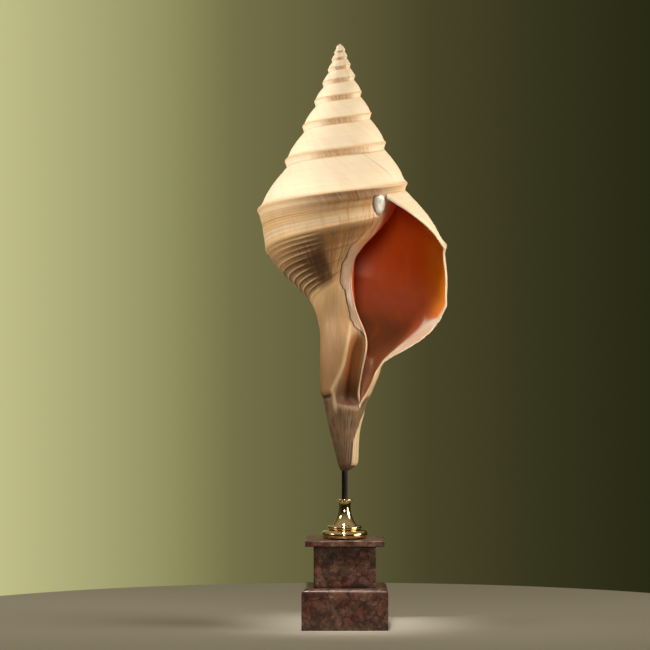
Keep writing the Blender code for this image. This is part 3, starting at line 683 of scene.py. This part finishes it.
def shell_lining():
    """Glazed lining: a pale band along the lip, orange near it painted as the glow of light through the thin
    lip, a pink sheen painted along the pillar's edge, deep red further in.
    """
    made = Finish(bpy.data.materials.new("shell_lining"))
    turn, share, _ = made.values("track")
    reach, _, softness = made.values("callus")
    run, back, outer = made.values("marks")
    growth_lines = made.lines(back * 90.0 + turn * 40.0, share * 2.0, 0.7, 3.0)
    spiral_lines = made.lines(share * 26.0, back * 3.0, 5.1, 2.0)
    cloud = made.noise(made.place(), 40.0, 3.0)
    inner = 1.0 - outer
    rim = made.painted(LIP_WHITE,
                       (LIP_PINK, cloud.smooth(0.4, 0.6)),
                       (CANAL_RED, reach.smooth(0.8, 1.4) * 0.2),
                       (GREY_TAN, inner * share.fade(0.26, 0.36) * 0.85))
    colour = made.painted(DEEP_RED,
                          # orange near the outer lip: painted glow of light through the thin lip
                          (ORANGE, outer * run.fade(0.035, 0.110) * share.band(0.12, 0.56, 0.12)),
                          # pink near the pillar's edge: a painted sheen of reflection
                          (PILLAR_PINK, inner * run.fade(0.020, 0.070) * 0.8),
                          (LOW_PURPLE, share.smooth(0.42, 0.72) * 0.75),
                          (CANAL_BROWN, share.smooth(0.66, 0.85)),
                          (ORANGE, growth_lines.smooth(0.50, 0.68) * outer * 0.14),
                          (GROWTH_RED, growth_lines.smooth(0.56, 0.74) * 0.12),
                          (rim, ((reach - 1.0) / softness).fade(-1.0, 1.0)),
                          (RIDGE_CREAM, run.fade(0.0004, 0.0018) * 0.8))
    return made.done(base_color=made.vector_maths("SCALE", colour, 0.92 + 0.16 * cloud),
                     roughness=0.34 + 0.10 * cloud,
                     normal=made.bump(0.6 * growth_lines + 0.25 * spiral_lines, 0.0002),
                     coat_weight=0.18, coat_roughness=0.22)


# ---------------------------------------------------------------- finishes of the stand

MARBLE_DARK = tint(62, 45, 36)
MARBLE_MAUVE = tint(122, 90, 76)
MARBLE_FLECK = tint(168, 128, 110)
MARBLE_RED = tint(118, 36, 28)
VEIN_RED = tint(50, 20, 16)
VEIN_BROWN = tint(46, 26, 20)
BRASS = tint(238, 216, 166)
BRASS_BLOOM = tint(210, 176, 112)
STEEL_BLACK = tint(26, 22, 22)
STEEL_BROWN = tint(62, 50, 44)
FLOOR_GREY = tint(206, 202, 188)
FLOOR_PALE = tint(214, 210, 198)


def polished_marble():
    """Brown-mauve breccia marble: light fibrous flecks, red patches and dark veins, a soft polish."""
    made = Finish(bpy.data.materials.new("polished_marble"))
    place = made.warped(made.place(), 34.0, 0.016)
    crumpled = made.warped(place, 120.0, 0.006)
    patch = made.noise(crumpled, 85.0, 6.0, 0.65)
    flecks = made.noise(made.warped(crumpled, 200.0, 0.004), 240.0, 4.0, 0.6)
    red = made.noise(place, 38.0, 3.0).smooth(0.42, 0.60)
    colour = made.painted(MARBLE_DARK,
                          (MARBLE_MAUVE, patch.smooth(0.38, 0.64)),
                          (MARBLE_FLECK, flecks.smooth(0.52, 0.68) * patch.smooth(0.40, 0.60) * 0.75),
                          (MARBLE_RED, red * flecks.smooth(0.42, 0.60) * 0.50),
                          (VEIN_RED, made.veins(crumpled, 62.0, 0.08) * (0.35 + 0.5 * red)),
                          (VEIN_BROWN, made.veins(crumpled, 135.0, 0.09) * 0.45))
    return made.done(base_color=colour, roughness=0.34 + 0.16 * patch,
                     normal=made.bump(patch + 0.5 * flecks, 0.00008), coat_weight=0.25, coat_roughness=0.20)


def polished_brass():
    """Bright turned brass with faint turning lines and a thin bloom of handling."""
    made = Finish(bpy.data.materials.new("polished_brass"))
    place = made.place()
    x, y, z = made.split(place)
    turning = made.lines(z * 2600.0, (x + y) * 12.0, 1.3, 2.0)
    bloom = made.noise(place, 150.0, 4.0)
    return made.done(base_color=made.mix(BRASS, BRASS_BLOOM, bloom.smooth(0.46, 0.70) * 0.5), metallic=1.0,
                     roughness=0.055 + 0.10 * bloom.smooth(0.50, 0.75) + 0.02 * turning,
                     normal=made.bump(turning, 0.00001))


def blackened_steel():
    """Rod blackened by heat, with drawn lines down it and a browner, rubbed film."""
    made = Finish(bpy.data.materials.new("blackened_steel"))
    place = made.place()
    x, y, z = made.split(place)
    drawn = made.noise(made.join(x * 1500.0, y * 1500.0, z * 30.0), 1.0, 3.0)
    film = made.noise(place, 160.0, 3.0)
    return made.done(base_color=made.mix(STEEL_BLACK, STEEL_BROWN, film.smooth(0.48, 0.70) * 0.6),
                     roughness=0.30 + 0.18 * drawn, metallic=0.6, normal=made.bump(drawn, 0.00003))


def pale_floor():
    """Pale, even studio floor with a very faint mottle."""
    made = Finish(bpy.data.materials.new("pale_floor"))
    mottle = made.noise(made.place(), 3.0, 4.0)
    return made.done(base_color=made.mix(FLOOR_GREY, FLOOR_PALE, mottle), roughness=0.75)


# ---------------------------------------------------------------- meshes

def numbered(start, shape):
    """Vertex numbers and value numbers of a grid: they part only where edges are joined."""
    grid = start + np.arange(shape[0] * shape[1]).reshape(shape)
    return np.stack((grid, grid), axis=-1)


def quads(index):
    """Faces between neighbours of a grid of numbers, outside up, without the collapsed ones."""
    faces = np.stack((index[:-1, :-1], index[1:, :-1], index[1:, 1:], index[:-1, 1:]), axis=2)
    faces = faces.reshape(-1, 4, 2)
    return faces[(np.diff(np.sort(faces[..., 0], axis=1), axis=1) > 0).all(axis=1)]


def fan(centre, rim):
    """Triangles from a centre to the edges of a rim, which runs clockwise seen from outside."""
    return np.stack((np.full((len(rim) - 1, 2), centre), rim[1:], rim[:-1]), axis=1)


def make_piece(name, points, four, three, materials, values=None, slots=None, sharp=55.0):
    """A mesh object from points, quads and triangles, smooth but for sharp corners.

    Each face corner has a vertex number and a value number, so that a pattern may jump at a seam."""
    mesh = bpy.data.meshes.new(name)
    corners = np.concatenate((four.reshape(-1, 2), three.reshape(-1, 2)))
    used, loops = np.unique(corners[:, 0], return_inverse=True)
    counts = np.concatenate((np.full(len(four), 4), np.full(len(three), 3))).astype(np.int32)
    mesh.vertices.add(len(used))
    mesh.vertices.foreach_set("co", np.asarray(points, np.float32)[used].ravel())
    mesh.loops.add(len(loops))
    mesh.loops.foreach_set("vertex_index", loops.ravel().astype(np.int32))
    mesh.polygons.add(len(counts))
    mesh.polygons.foreach_set("loop_start", np.concatenate(([0], np.cumsum(counts)[:-1])).astype(np.int32))
    mesh.polygons.foreach_set("loop_total", counts)
    for material in materials:
        mesh.materials.append(material)
    if slots is not None:
        mesh.polygons.foreach_set("material_index", np.asarray(slots, np.int32))
    for key, value in (values or {}).items():
        layer = mesh.attributes.new(key, "FLOAT_VECTOR", "CORNER")
        layer.data.foreach_set("vector", np.asarray(value, np.float32)[corners[:, 1]].ravel())
    mesh.update(calc_edges=True)
    mesh.validate()
    mesh.shade_smooth()
    mesh.set_sharp_from_angle(angle=math.radians(sharp))
    piece = bpy.data.objects.new(name, mesh)
    bpy.context.scene.collection.objects.link(piece)
    return piece


def round_piece(name, points, materials):
    """A piece from columns of points that go once round the upright axis, closed by a fan at each end."""
    index = numbered(0, points.shape[:2])
    index = np.concatenate((index, index[:1]))
    total = points.shape[0] * points.shape[1]
    ends = points[0, [0, -1]] * (0.0, 0.0, 1.0)
    three = np.concatenate((fan(total, index[:, 0]), fan(total + 1, index[::-1, -1])))
    return make_piece(name, np.concatenate((points.reshape(-1, 3), ends)), quads(index), three, materials,
                      sharp=40.0)


def dress(piece, node):
    """A piece rides on the one body, stands for a solid and takes its finish from a slot."""
    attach(piece, "root")
    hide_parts(node)


# ---------------------------------------------------------------- the shell

def rows_down():
    """The rows of the section, closer together at the keels and over the cords, in two parts: ramp and
    step, then all that lies below."""
    ramp = np.concatenate((np.linspace(0.0, 0.84, 17)[:-1], np.linspace(0.84, 1.0, 11)[:-1]))
    step = np.linspace(STEP, BELLY, 9)
    belly = BELLY + np.concatenate((np.linspace(0.0, 0.85, 20)[1:-1], np.linspace(0.85, 1.0, 6)[:-1]))
    cords = np.linspace(0.0, CORD_REACH, CORDS * 8 + 1)
    base = BASE + np.concatenate((cords, np.linspace(CORD_REACH, 1.0, 12)[1:-1]))
    neck = NECK + np.linspace(0.0, 1.0, 41)[:-1]
    end = 0.9 + 0.1 * np.sin(np.linspace(0, math.pi / 2, 8))
    tip = TIP + np.concatenate((np.linspace(0.0, 0.9, 34)[:-1], end))
    return np.concatenate((ramp, step)), np.concatenate((belly, base, neck, tip))


def marked(points, turn, down):
    """What lies on the front of the last whorl: the height it adds, and the values that colour it.

    The callus is a thin glaze with an edge that follows a curve of x by height, a crack runs along
    that edge, and a pearly boss fills the corner under the keel. Lower down are the hollow, the
    ridge of old canals beside it, and the rolled right edge of the tip."""
    x, y, z = np.moveaxis(points, -1, 0)
    jagged = ripple(z, ((0.021, 1.0), (0.0093, 0.7)), 3)
    lap = x - table(CALLUS_EDGE, z) + 0.0006 * jagged * (1.0 - 0.85 * smooth(z, 0.470, 0.485))
    own = smooth(-0.60 - turn, 0.0, 0.04) * smooth(down, 1.97, 2.06) * smooth(z, 0.334, 0.342)
    glaze = GLAZE * smooth(lap, -0.0010, 0.0026) - 0.0006 * hump(lap, -0.0006, 0.0014)
    away = np.hypot((x - NACRE[0]) / NACRE[2], (z - NACRE[1]) / NACRE[3])
    nacre = np.clip(1.3 - away, 0.0, 1.0) * own * (turn < -0.6)
    moat = own * hump(away, 1.12, 0.12) * (x < NACRE[0])

    pit = np.where((down > BELLY) & (turn < -0.3), hollow(turn, z) / HOLLOW_DEPTH, 0.0)
    ridge = hump(x, table(FASCIOLE, z), 0.0030) * smooth(-y, 0.0, 0.004) * smooth(z, 0.238, 0.262)
    ridge = ridge * smooth(0.372 - z, 0.0, 0.02) * (down > BASE) * smooth(-0.45 - turn, 0.0, 0.05)

    around = np.degrees(np.arctan2(-y, x - axis_x(z)))
    edge = table(TIP_ROLL, z)
    roll = smooth(around, -75.0, -45.0) * smooth(edge - around, -2.0, 6.0)
    roll = roll * smooth(ROLL_TOP - z, 0.0, 0.02) * smooth(z, 0.1885, 0.192)
    gutter = hump(around, edge + 5.0, 6.0) * smooth(0.25 - z, 0.0, 0.02) * smooth(z, 0.188, 0.194)
    off_chip = abs((around - CHIP_ANGLE + 180.0) % 360.0 - 180.0)
    chip = hump(z, CHIP_HEIGHT + 0.0012 * np.sin(around / 9.0), 0.0018)
    chip = chip * smooth(CHIP_HALF - off_chip, 0.0, 10.0) * (down > 4.5)
    worn = (down > 4.9) * smooth(ROLL_TOP - z, 0.0, 0.01)
    pits = ripple(around / 360.0 + 0.3 * z, ((1 / 13, 1), (1 / 29, 1), (1 / 47, 0.7)), 8)

    height = own * (1.0 - 0.8 * hump(z, 0.464, 0.013)) * glaze + 0.0022 * smooth(nacre, 0.3, 0.75)
    height = height - 0.0008 * moat + 0.0011 * ridge + 0.0011 * roll - 0.0009 * gutter - 0.0022 * chip
    height = height + 0.00045 * worn * pits
    return height, np.stack((lap, own, nacre), axis=-1), np.stack((pit, ridge - chip, roll), axis=-1)


def wound(points, index, step_row, turn_columns):
    """Weld the suture: the first row takes the points of the step row a turn before. Returns the rim of
    the open upper end, down the first growth line and once round the suture."""
    points[turn_columns:, 0] = points[:-turn_columns, step_row]
    index[turn_columns:, 0, 0] = index[:-turn_columns, step_row, 0]
    return np.concatenate((index[0, step_row::-1], index[1:turn_columns + 1, 0]))


def spire(materials, seam, columns=224):
    """The early whorls: a strip of ramp and step wound down to the seam and welded to itself."""
    upper = rows_down()[0]
    turn_columns = columns - round(columns * SLANT)
    growth = np.arange(round(FIRST_GROWTH * columns), round(seam * columns) + 1) / columns
    points, turn, rows, lines = growth_grid(growth, upper)
    shaped = sculpted(points, lines, turn, rows)
    index = numbered(0, turn.shape)
    rim = wound(shaped, index, len(upper) - 1, turn_columns)
    total = turn.size
    rim[:, 1] = total
    hem = np.concatenate((index[-turn_columns - 1:, -1], index[-1, -2::-1]))[::-1]
    three = np.concatenate((fan(total, rim), fan(total + 1, hem)))
    ends = np.array([[SPIRE_X, 0.0, NUCLEUS_TOP], [SPIRE_X, 0.0, shaped[-1, :, 2].mean()]])
    track = np.stack((lines, rows, turn), axis=-1).reshape(-1, 3)
    track = np.concatenate((track, [[FIRST_GROWTH, 0.5, FIRST_GROWTH]], track[[-1]]))
    return make_piece("shell_spire", np.concatenate((shaped.reshape(-1, 3), ends)), quads(index), three,
                      materials, {"track": track})


def radius_at(turn, height):
    """Radius of the plain section at given turns and heights, read between its rows, and the slant of the
    wall there: how many times longer it is than it is high."""
    rows = np.concatenate((np.linspace(0.0, 3.0, 40), np.linspace(3.0, 5.0, 50)[1:]))
    radii, heights = section(turn[..., None], rows)
    below = np.clip((heights > height[..., None]).sum(axis=-1), 1, len(rows) - 1)[..., None]
    high, low = (np.take_along_axis(heights, below - step, axis=-1)[..., 0] for step in (1, 0))
    wide, narrow = (np.take_along_axis(radii, below - step, axis=-1)[..., 0] for step in (1, 0))
    share = np.clip((high - height) / np.maximum(high - low, 1e-6), 0.0, 1.0)
    slope = np.clip(abs(wide - narrow) / np.maximum(high - low, 1e-6), 0.0, 2.0)
    return wide + (narrow - wide) * share, np.sqrt(1.0 + slope ** 2)


def cavity(turn, share, back, outer):
    """Points of the cavity's wall: between the wall moved in by its thickness and the glazed whorl
    before, closing in a rounded corner at the suture and at the canal's floor."""
    top = below_keel(turn - 1.0)[1] - CORNER_DROP * np.exp(-DEPTH_RATE * back)
    at_lip = CANAL_END + FLOOR_GAP
    bottom = at_lip + (CAVITY_FLOOR - FLOOR_RISE * turn - at_lip) * smooth(back, 0.0, 0.14)
    height = top + (bottom - top) * share
    thickness = EDGE_WALL + (BODY_WALL - EDGE_WALL) * smooth(back, 0.0, 16 / 360)
    far, slant = radius_at(turn, height)
    far = far - thickness * slant
    near = radius_at(turn - 1.0, height)[0] + GLAZE
    middle = np.minimum((far + near) * 0.5, far)
    half = np.maximum((far - near) * 0.5, 0.0004)
    for end in (np.minimum(share / 0.04, 1.0), np.minimum((1.0 - share) / 0.12, 1.0)):
        half = half * np.sqrt(np.maximum(1.0 - (1.0 - end) ** 2, 0.0))
    return place(turn, np.where(outer, middle + half, middle - half), height)


def outer_wall(growth, down, step_row):
    """Outside of the last whorl and a half: its points, and the values that colour it.

    The ramp and step are eased alone until the rows below have begun, and then with them. The relief,
    the nicks of the lip's edge and what marked() gives are added."""
    points, turn, rows, lines = growth_grid(growth, down)
    shaped = sculpted(points, lines, turn, rows)
    alone = sculpted(*(grid[:, :step_row + 1] for grid in (points, lines, turn, rows)))
    joined = smooth(growth, SLANT, SLANT + JOIN_RUN)[:, None, None]
    shaped[:, :step_row + 1] = alone + (shaped[:, :step_row + 1] - alone) * joined
    nicks = NICK_DEPTH * ripple(down, ((0.173, 1.0), (0.071, 0.8), (0.39, 1.0)), 21)
    nicks = nicks * smooth(down, 0.1, 0.3) * smooth(4.6 - down, 0.0, 0.3)
    nicks = nicks * smooth(growth, 0.985, 1.0)[:, None]
    shaped += unit(np.gradient(shaped, axis=0)) * nicks[..., None]
    height, callus, marks = marked(shaped, turn, rows)
    shaped += outward(shaped) * (height * (growth >= SLANT)[:, None])[..., None]
    return shaped, {"track": np.stack((lines, rows, turn), axis=-1), "callus": callus, "marks": marks}


def mouth_skin(edge, edge_turn, outer):
    """The lip and the cavity's wall, as rings that start at the mouth's edge and go back.

    Four rings carry the lip over in a half circle, then come the cavity's, eased more the deeper they
    lie. Also how far back each ring is, in turns, and each point's share of the way down the mouth."""
    share = (edge[0, 2] - edge[:, 2]) / (edge[0, 2] - edge[outer][-1, 2])
    backs = CAVITY_BACK * np.linspace(0.0, 1.0, RINGS)[:, None] ** 1.7
    rings = cavity(edge_turn - backs - np.where(outer, 0.0, 0.004), share, backs, outer)
    rings = rounded(rings, RING_EASED)
    rings += (rounded(rings.copy(), DEEP_EASED) - rings) * smooth(backs, 0.0, 0.08)[..., None]
    across = rings[0] - edge
    side = unit(across)
    forward = edge - rings[1]
    forward = unit(forward - side * (forward * side).sum(axis=-1, keepdims=True))
    width = np.minimum(np.linalg.norm(across, axis=-1, keepdims=True), LIP_WIDTH)
    angle = np.linspace(0.0, math.pi, 6)[1:-1, None, None]
    swell = 0.5 * np.sin(angle) * outer[:, None] * width
    lip = edge + across * (1.0 - np.cos(angle)) / 2.0 + forward * swell
    return np.concatenate((edge[None], lip, rings)), np.pad(backs, ((len(lip) + 1, 0), (0, 0))), share


def mouth_values(skin, back, share, edge_turn, outer):
    """The values that colour the lining: turn and share, reach over the pale band and its softness,
    then the way walked from the edge, the turns back and 1 on the outer side."""
    run = walked(skin, 0)
    band = np.where(outer, table(OUTER_BAND, share), table(INNER_BAND, share))
    softness = np.where(outer, table(OUTER_SOFT, share), table(INNER_SOFT, share))
    parts = {"track": (edge_turn - back, share, 0.0 * run), "callus": (run / band, share, softness),
             "marks": (run, back, outer * 1.0)}
    return {name: np.stack(np.broadcast_arrays(*part), axis=-1) for name, part in parts.items()}


def body_whorl(materials, seam, columns=320):
    """The last whorl and a half, its lip, the lining of its cavity, the neck and the canal.

    The outer wall is a strip welded to itself along the suture. Below the step it starts at the mouth's
    inner edge. Under the canal's end its first columns blend into its last, which closes the tip."""
    upper, lower = rows_down()
    down = np.concatenate((upper, lower))
    step_row = len(upper) - 1
    canal_row = len(upper) + int(np.argmin(abs(lower - TIP)))
    growth = np.arange(round(seam * columns), columns + 1) / columns
    first_low = int(np.argmax(growth >= SLANT))
    shaped, values = outer_wall(growth, down, step_row)
    index = numbered(0, shaped.shape[:2])
    rim = wound(shaped, index, step_row, columns - round(columns * SLANT))
    blend = smooth(np.linspace(0.0, 1.0, CLOSING))[:, None, None]
    tip = shaped[first_low:, canal_row:]
    tip[:CLOSING] = tip[-1] * (1.0 - blend) + tip[:CLOSING] * blend
    low = index[first_low:].copy()
    low[-1, canal_row:, 0] = low[0, canal_row:, 0]

    everything = shaped.reshape(-1, 3)
    inner_rows = np.arange(canal_row - 1, step_row, -1)
    edge = np.concatenate((low[-1, :canal_row + 1], low[0, inner_rows]))
    outer = np.arange(len(edge)) <= canal_row
    edge_turn = np.concatenate((lip_turn(down[:canal_row + 1]), inner_turn(down[inner_rows]) + 1.0))
    skin, back, share = mouth_skin(everything[edge[:, 0]], edge_turn, outer)
    rings = numbered(len(everything), skin.shape[:2])
    rings[0, :, 0] = edge[:, 0]
    rings = np.concatenate((rings, rings[:, :1]), axis=1)

    total = len(everything) + skin.shape[0] * skin.shape[1]
    three = np.concatenate((fan(total, rings[-1]), fan(total + 1, rim), fan(total + 2, low[::-1, -1])))
    outside = np.concatenate((quads(index[:, :step_row + 1]), quads(low[:, step_row:])))
    inside = quads(rings)
    slots = np.zeros(len(outside) + len(inside) + len(three))
    slots[len(outside):len(outside) + len(inside) + len(edge)] = 1
    centres = np.array([skin[-1].mean(axis=0), [SPIRE_X, 0.0, shaped[0, :step_row, 2].mean()],
                        [CANAL_X, 0.0, SHELL_TIP + 0.0003]])
    lining = mouth_values(skin, back, share, edge_turn, outer)
    ends = {name: np.zeros((3, 3)) for name in values}
    ends["track"][:] = (0.0, 0.5, 0.0), (seam, 0.0, -1.5), (0.5, 6.0, 0.0)
    values = {name: np.concatenate([part[name].reshape(-1, 3) for part in (values, lining, ends)])
              for name in values}
    return make_piece("shell_body", np.concatenate((everything, skin.reshape(-1, 3), centres)),
                      np.concatenate((outside, inside)), three, materials, values, slots)


# ---------------------------------------------------------------- the stand

def arc(centre, radius, start, end, steps):
    """Points (radius, height) on an arc, angles in degrees from the outward direction."""
    angles = np.radians(np.linspace(start, end, steps))
    return np.stack((centre[0] + radius * np.cos(angles), centre[1] + radius * np.sin(angles)), axis=-1)


def turned(name, profile, columns, materials):
    """Profile of (radius, height) points, running down the outside, turned round the upright axis."""
    angle = -2.0 * math.pi * np.arange(columns)[:, None] / columns
    radius, height = profile.T
    parts = np.broadcast_arrays(radius * np.cos(angle), radius * np.sin(angle), height)
    return round_piece(name, np.stack(parts, axis=-1), materials)


def foot_profile():
    """Brass foot, from its bore over the lip, down the waist and bell to the ring and torus."""
    base, top = (corner.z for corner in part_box("brass_foot"))
    bore = ROD_RADIUS + ROD_GAP
    ring_z = base + 2.0 * TORUS + RING + SEAT
    waist = top - WAIST_DROP
    bell_foot = ring_z + RING + SEAT
    share = np.linspace(0.0, 1.0, 40)
    bell = np.stack((NECK_RADIUS + (BELL_RADIUS - NECK_RADIUS) * share ** 2.3,
                     waist + (bell_foot - waist) * share), axis=-1)
    return np.concatenate((
        [(bore, top - BORE_DEPTH), (bore, top - BORE_EDGE), (bore + BORE_EDGE, top)],
        arc((LIP_RADIUS - 0.0010, top - 0.0010), 0.0010, 90.0, -35.0, 10),
        arc((LIP_RADIUS + 0.0004, top - 0.0042), 0.0024, 118.0, 170.0, 10),
        bell,
        arc((RING_RADIUS - RING, ring_z), RING, 86.0, -80.0, 26),
        [(RING_RADIUS - 0.0008, base + 2.0 * TORUS + 0.0003)],
        arc((TORUS_RADIUS - TORUS, base + TORUS), TORUS, 84.0, -90.0, 32)))


def stone_block(name, node, top_round, materials):
    """Square polished block: eased edges, a rounded top edge, faintly uneven arrises.

    Each ring is a rounded square, drawn in by the profile's inset; the rings run down the side."""
    low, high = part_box(node)
    half = (high.x - low.x) / 2.0
    bend = np.radians(np.linspace(0.0, 90.0, 13 if top_round > ARRIS else 5))
    top = np.stack((top_round * (1.0 - np.sin(bend)), high.z - top_round * (1.0 - np.cos(bend))), axis=-1)
    side = np.stack((np.zeros(10), np.linspace(high.z - top_round, low.z + ARRIS, 12)[1:-1]), axis=-1)
    foot = np.array([(0.0, low.z + ARRIS), (0.3 * ARRIS, low.z + 0.3 * ARRIS), (ARRIS, low.z)])
    inner = np.array([(half * 0.6, high.z), (half * 0.25, high.z)])
    profile = np.concatenate((inner, top, side, foot, [(half * 0.4, low.z)]))
    corner = np.radians([0.0, 45.0, 90.0])
    flat = np.linspace(1.0, -1.0, 26)[1:-1]
    unit_square = np.concatenate((np.ones((3, 2)), np.stack((flat, np.ones(24)), axis=-1)))
    lean = np.concatenate((np.stack((np.cos(corner), np.sin(corner)), axis=-1),
                           np.tile([[0.0, 1.0]], (24, 1))))
    sides = []
    for angle in np.radians([0.0, 90.0, 180.0, 270.0]):
        turn = np.array([[math.cos(angle), math.sin(angle)], [-math.sin(angle), math.cos(angle)]])
        sides.append(np.concatenate((unit_square @ turn, lean @ turn), axis=-1))
    ring = np.concatenate(sides)[::-1]
    inset, height = profile.T
    along = np.arange(len(ring))[:, None] / len(ring) + height * 3.0
    wear = ARRIS_WEAR * ripple(along, ((1 / 17, 1.0), (1 / 43, 1.0), (1 / 71, 0.7)), 31)
    wear = abs(wear * np.exp(-(inset / ARRIS - 0.3) ** 2))
    reach = (half - inset - ARRIS)[:, None]
    plan = ring[:, None, :2] * reach + ring[:, None, 2:] * (ARRIS - wear)[..., None]
    points = np.concatenate((plan, np.broadcast_to(height[:, None], plan.shape[:2] + (1,))), axis=-1)
    return round_piece(name, points, materials)


# ---------------------------------------------------------------- the object

outside = shell_outside()
lining = shell_lining()
marble = polished_marble()
brass = polished_brass()
steel = blackened_steel()

dress(spire([outside], SEAM), "shell")
dress(body_whorl([outside, lining], SEAM), "shell")
dress(turned("turned_foot", foot_profile(), 192, [brass]), "brass_foot")
rod_low, rod_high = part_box("rod")
rod_profile = np.array([(ROD_RADIUS - ROD_EDGE, rod_high.z), (ROD_RADIUS, rod_high.z - ROD_EDGE),
                        (ROD_RADIUS, SHELL_TIP), (ROD_RADIUS, 0.5 * (SHELL_TIP + rod_low.z)),
                        (ROD_RADIUS, rod_low.z + ROD_EDGE), (ROD_RADIUS - ROD_EDGE, rod_low.z)])
dress(turned("steel_rod", rod_profile, 64, [steel]), "rod")
for stone, top_round in (("cap", ARRIS), ("die", ARRIS), ("plinth", PLINTH_ROUND)):
    node = "marble_" + stone
    dress(stone_block(stone + "_stone", node, top_round, [marble]), node)

# ---------------------------------------------------------------- floor, light and camera

floor_mesh = bpy.data.meshes.new("floor")
turns = np.arange(96) * math.pi / 48
rim = np.stack((FLOOR_RADIUS * np.cos(turns), FLOOR_RADIUS * np.sin(turns), 0.0 * turns), axis=-1)
floor_mesh.from_pydata(rim.tolist(), [], [tuple(range(len(rim)))])
floor_mesh.materials.append(pale_floor())
floor = bpy.data.objects.new("floor", floor_mesh)
bpy.context.scene.collection.objects.link(floor)


def studio_world():
    """Olive surroundings, lighter on the left of the view than on the right, dim in front of the
    object and under a pale ceiling."""
    made = Finish(bpy.data.worlds.new("studio"))
    x, y, z = made.split(made.place("Generated"))
    around = made.ramp(x.smooth(-0.50, 0.11, "LINEAR"), (
        (0.0, tint(70, 68, 46)), (0.34, tint(120, 118, 80)), (0.60, tint(198, 195, 142)),
        (0.645, tint(190, 187, 134)), (0.735, tint(144, 142, 96)), (0.77, tint(116, 112, 74)),
        (0.875, tint(74, 70, 45)), (0.935, tint(57, 56, 35)), (1.0, tint(44, 45, 26))))
    colour = made.painted(tint(38, 35, 26), (around, y.smooth(-0.55, 0.15, "LINEAR")),
                          (tint(150, 140, 120), z.smooth(0.25, 0.70, "LINEAR")))
    return made.done("Background", color=colour, strength=1.0)


def soft_light(name, where, aim, size, power, spread, colour):
    """A square soft box at a place, turned to face a point, its beam held to a spread in degrees."""
    lamp = bpy.data.lights.new(name, "AREA")
    lamp.shape = "SQUARE"
    lamp.size = size
    lamp.spread = math.radians(spread)
    lamp.energy = power
    lamp.color = colour
    holder = bpy.data.objects.new(name, lamp)
    holder.location = where
    holder.rotation_euler = (Vector(aim) - Vector(where)).to_track_quat("-Z", "Y").to_euler()
    bpy.context.scene.collection.objects.link(holder)


bpy.context.scene.world = studio_world()
# Name, place, aim, size, power, spread and colour.
soft_light("key", (-0.86, -0.30, 0.82), (0, 0, 0.60), 0.5, 1.12, 38.0, (1.0, 0.92, 0.82))
soft_light("side", (1.10, -0.24, 0.62), (0, 0, 0.54), 0.55, 2.1, 56.0, (1.0, 0.89, 0.75))
soft_light("fill", (-0.12, -2.0, 0.62), (0.03, 0, 0.44), 0.35, 0.17, 18.0, (1.0, 0.93, 0.82))
soft_light("glint", (0.80, -0.46, 0.30), (0, 0, 0.14), 0.35, 0.10, 30.0, (1.0, 0.93, 0.84))
soft_light("low", (-0.08, -0.45, 1.10), (0, 0, 0.06), 0.16, 0.085, 12.0, (1.0, 0.92, 0.82))

camera = bpy.data.objects.new("camera", bpy.data.cameras.new("camera"))
camera.location = CAMERA_PLACE
camera.rotation_euler = (math.radians(90), 0, 0)
camera.data.lens = CAMERA_LENS
camera.data.clip_end = 50
bpy.context.scene.collection.objects.link(camera)
bpy.context.scene.camera = camera
bpy.context.scene.view_settings.view_transform = "Standard"
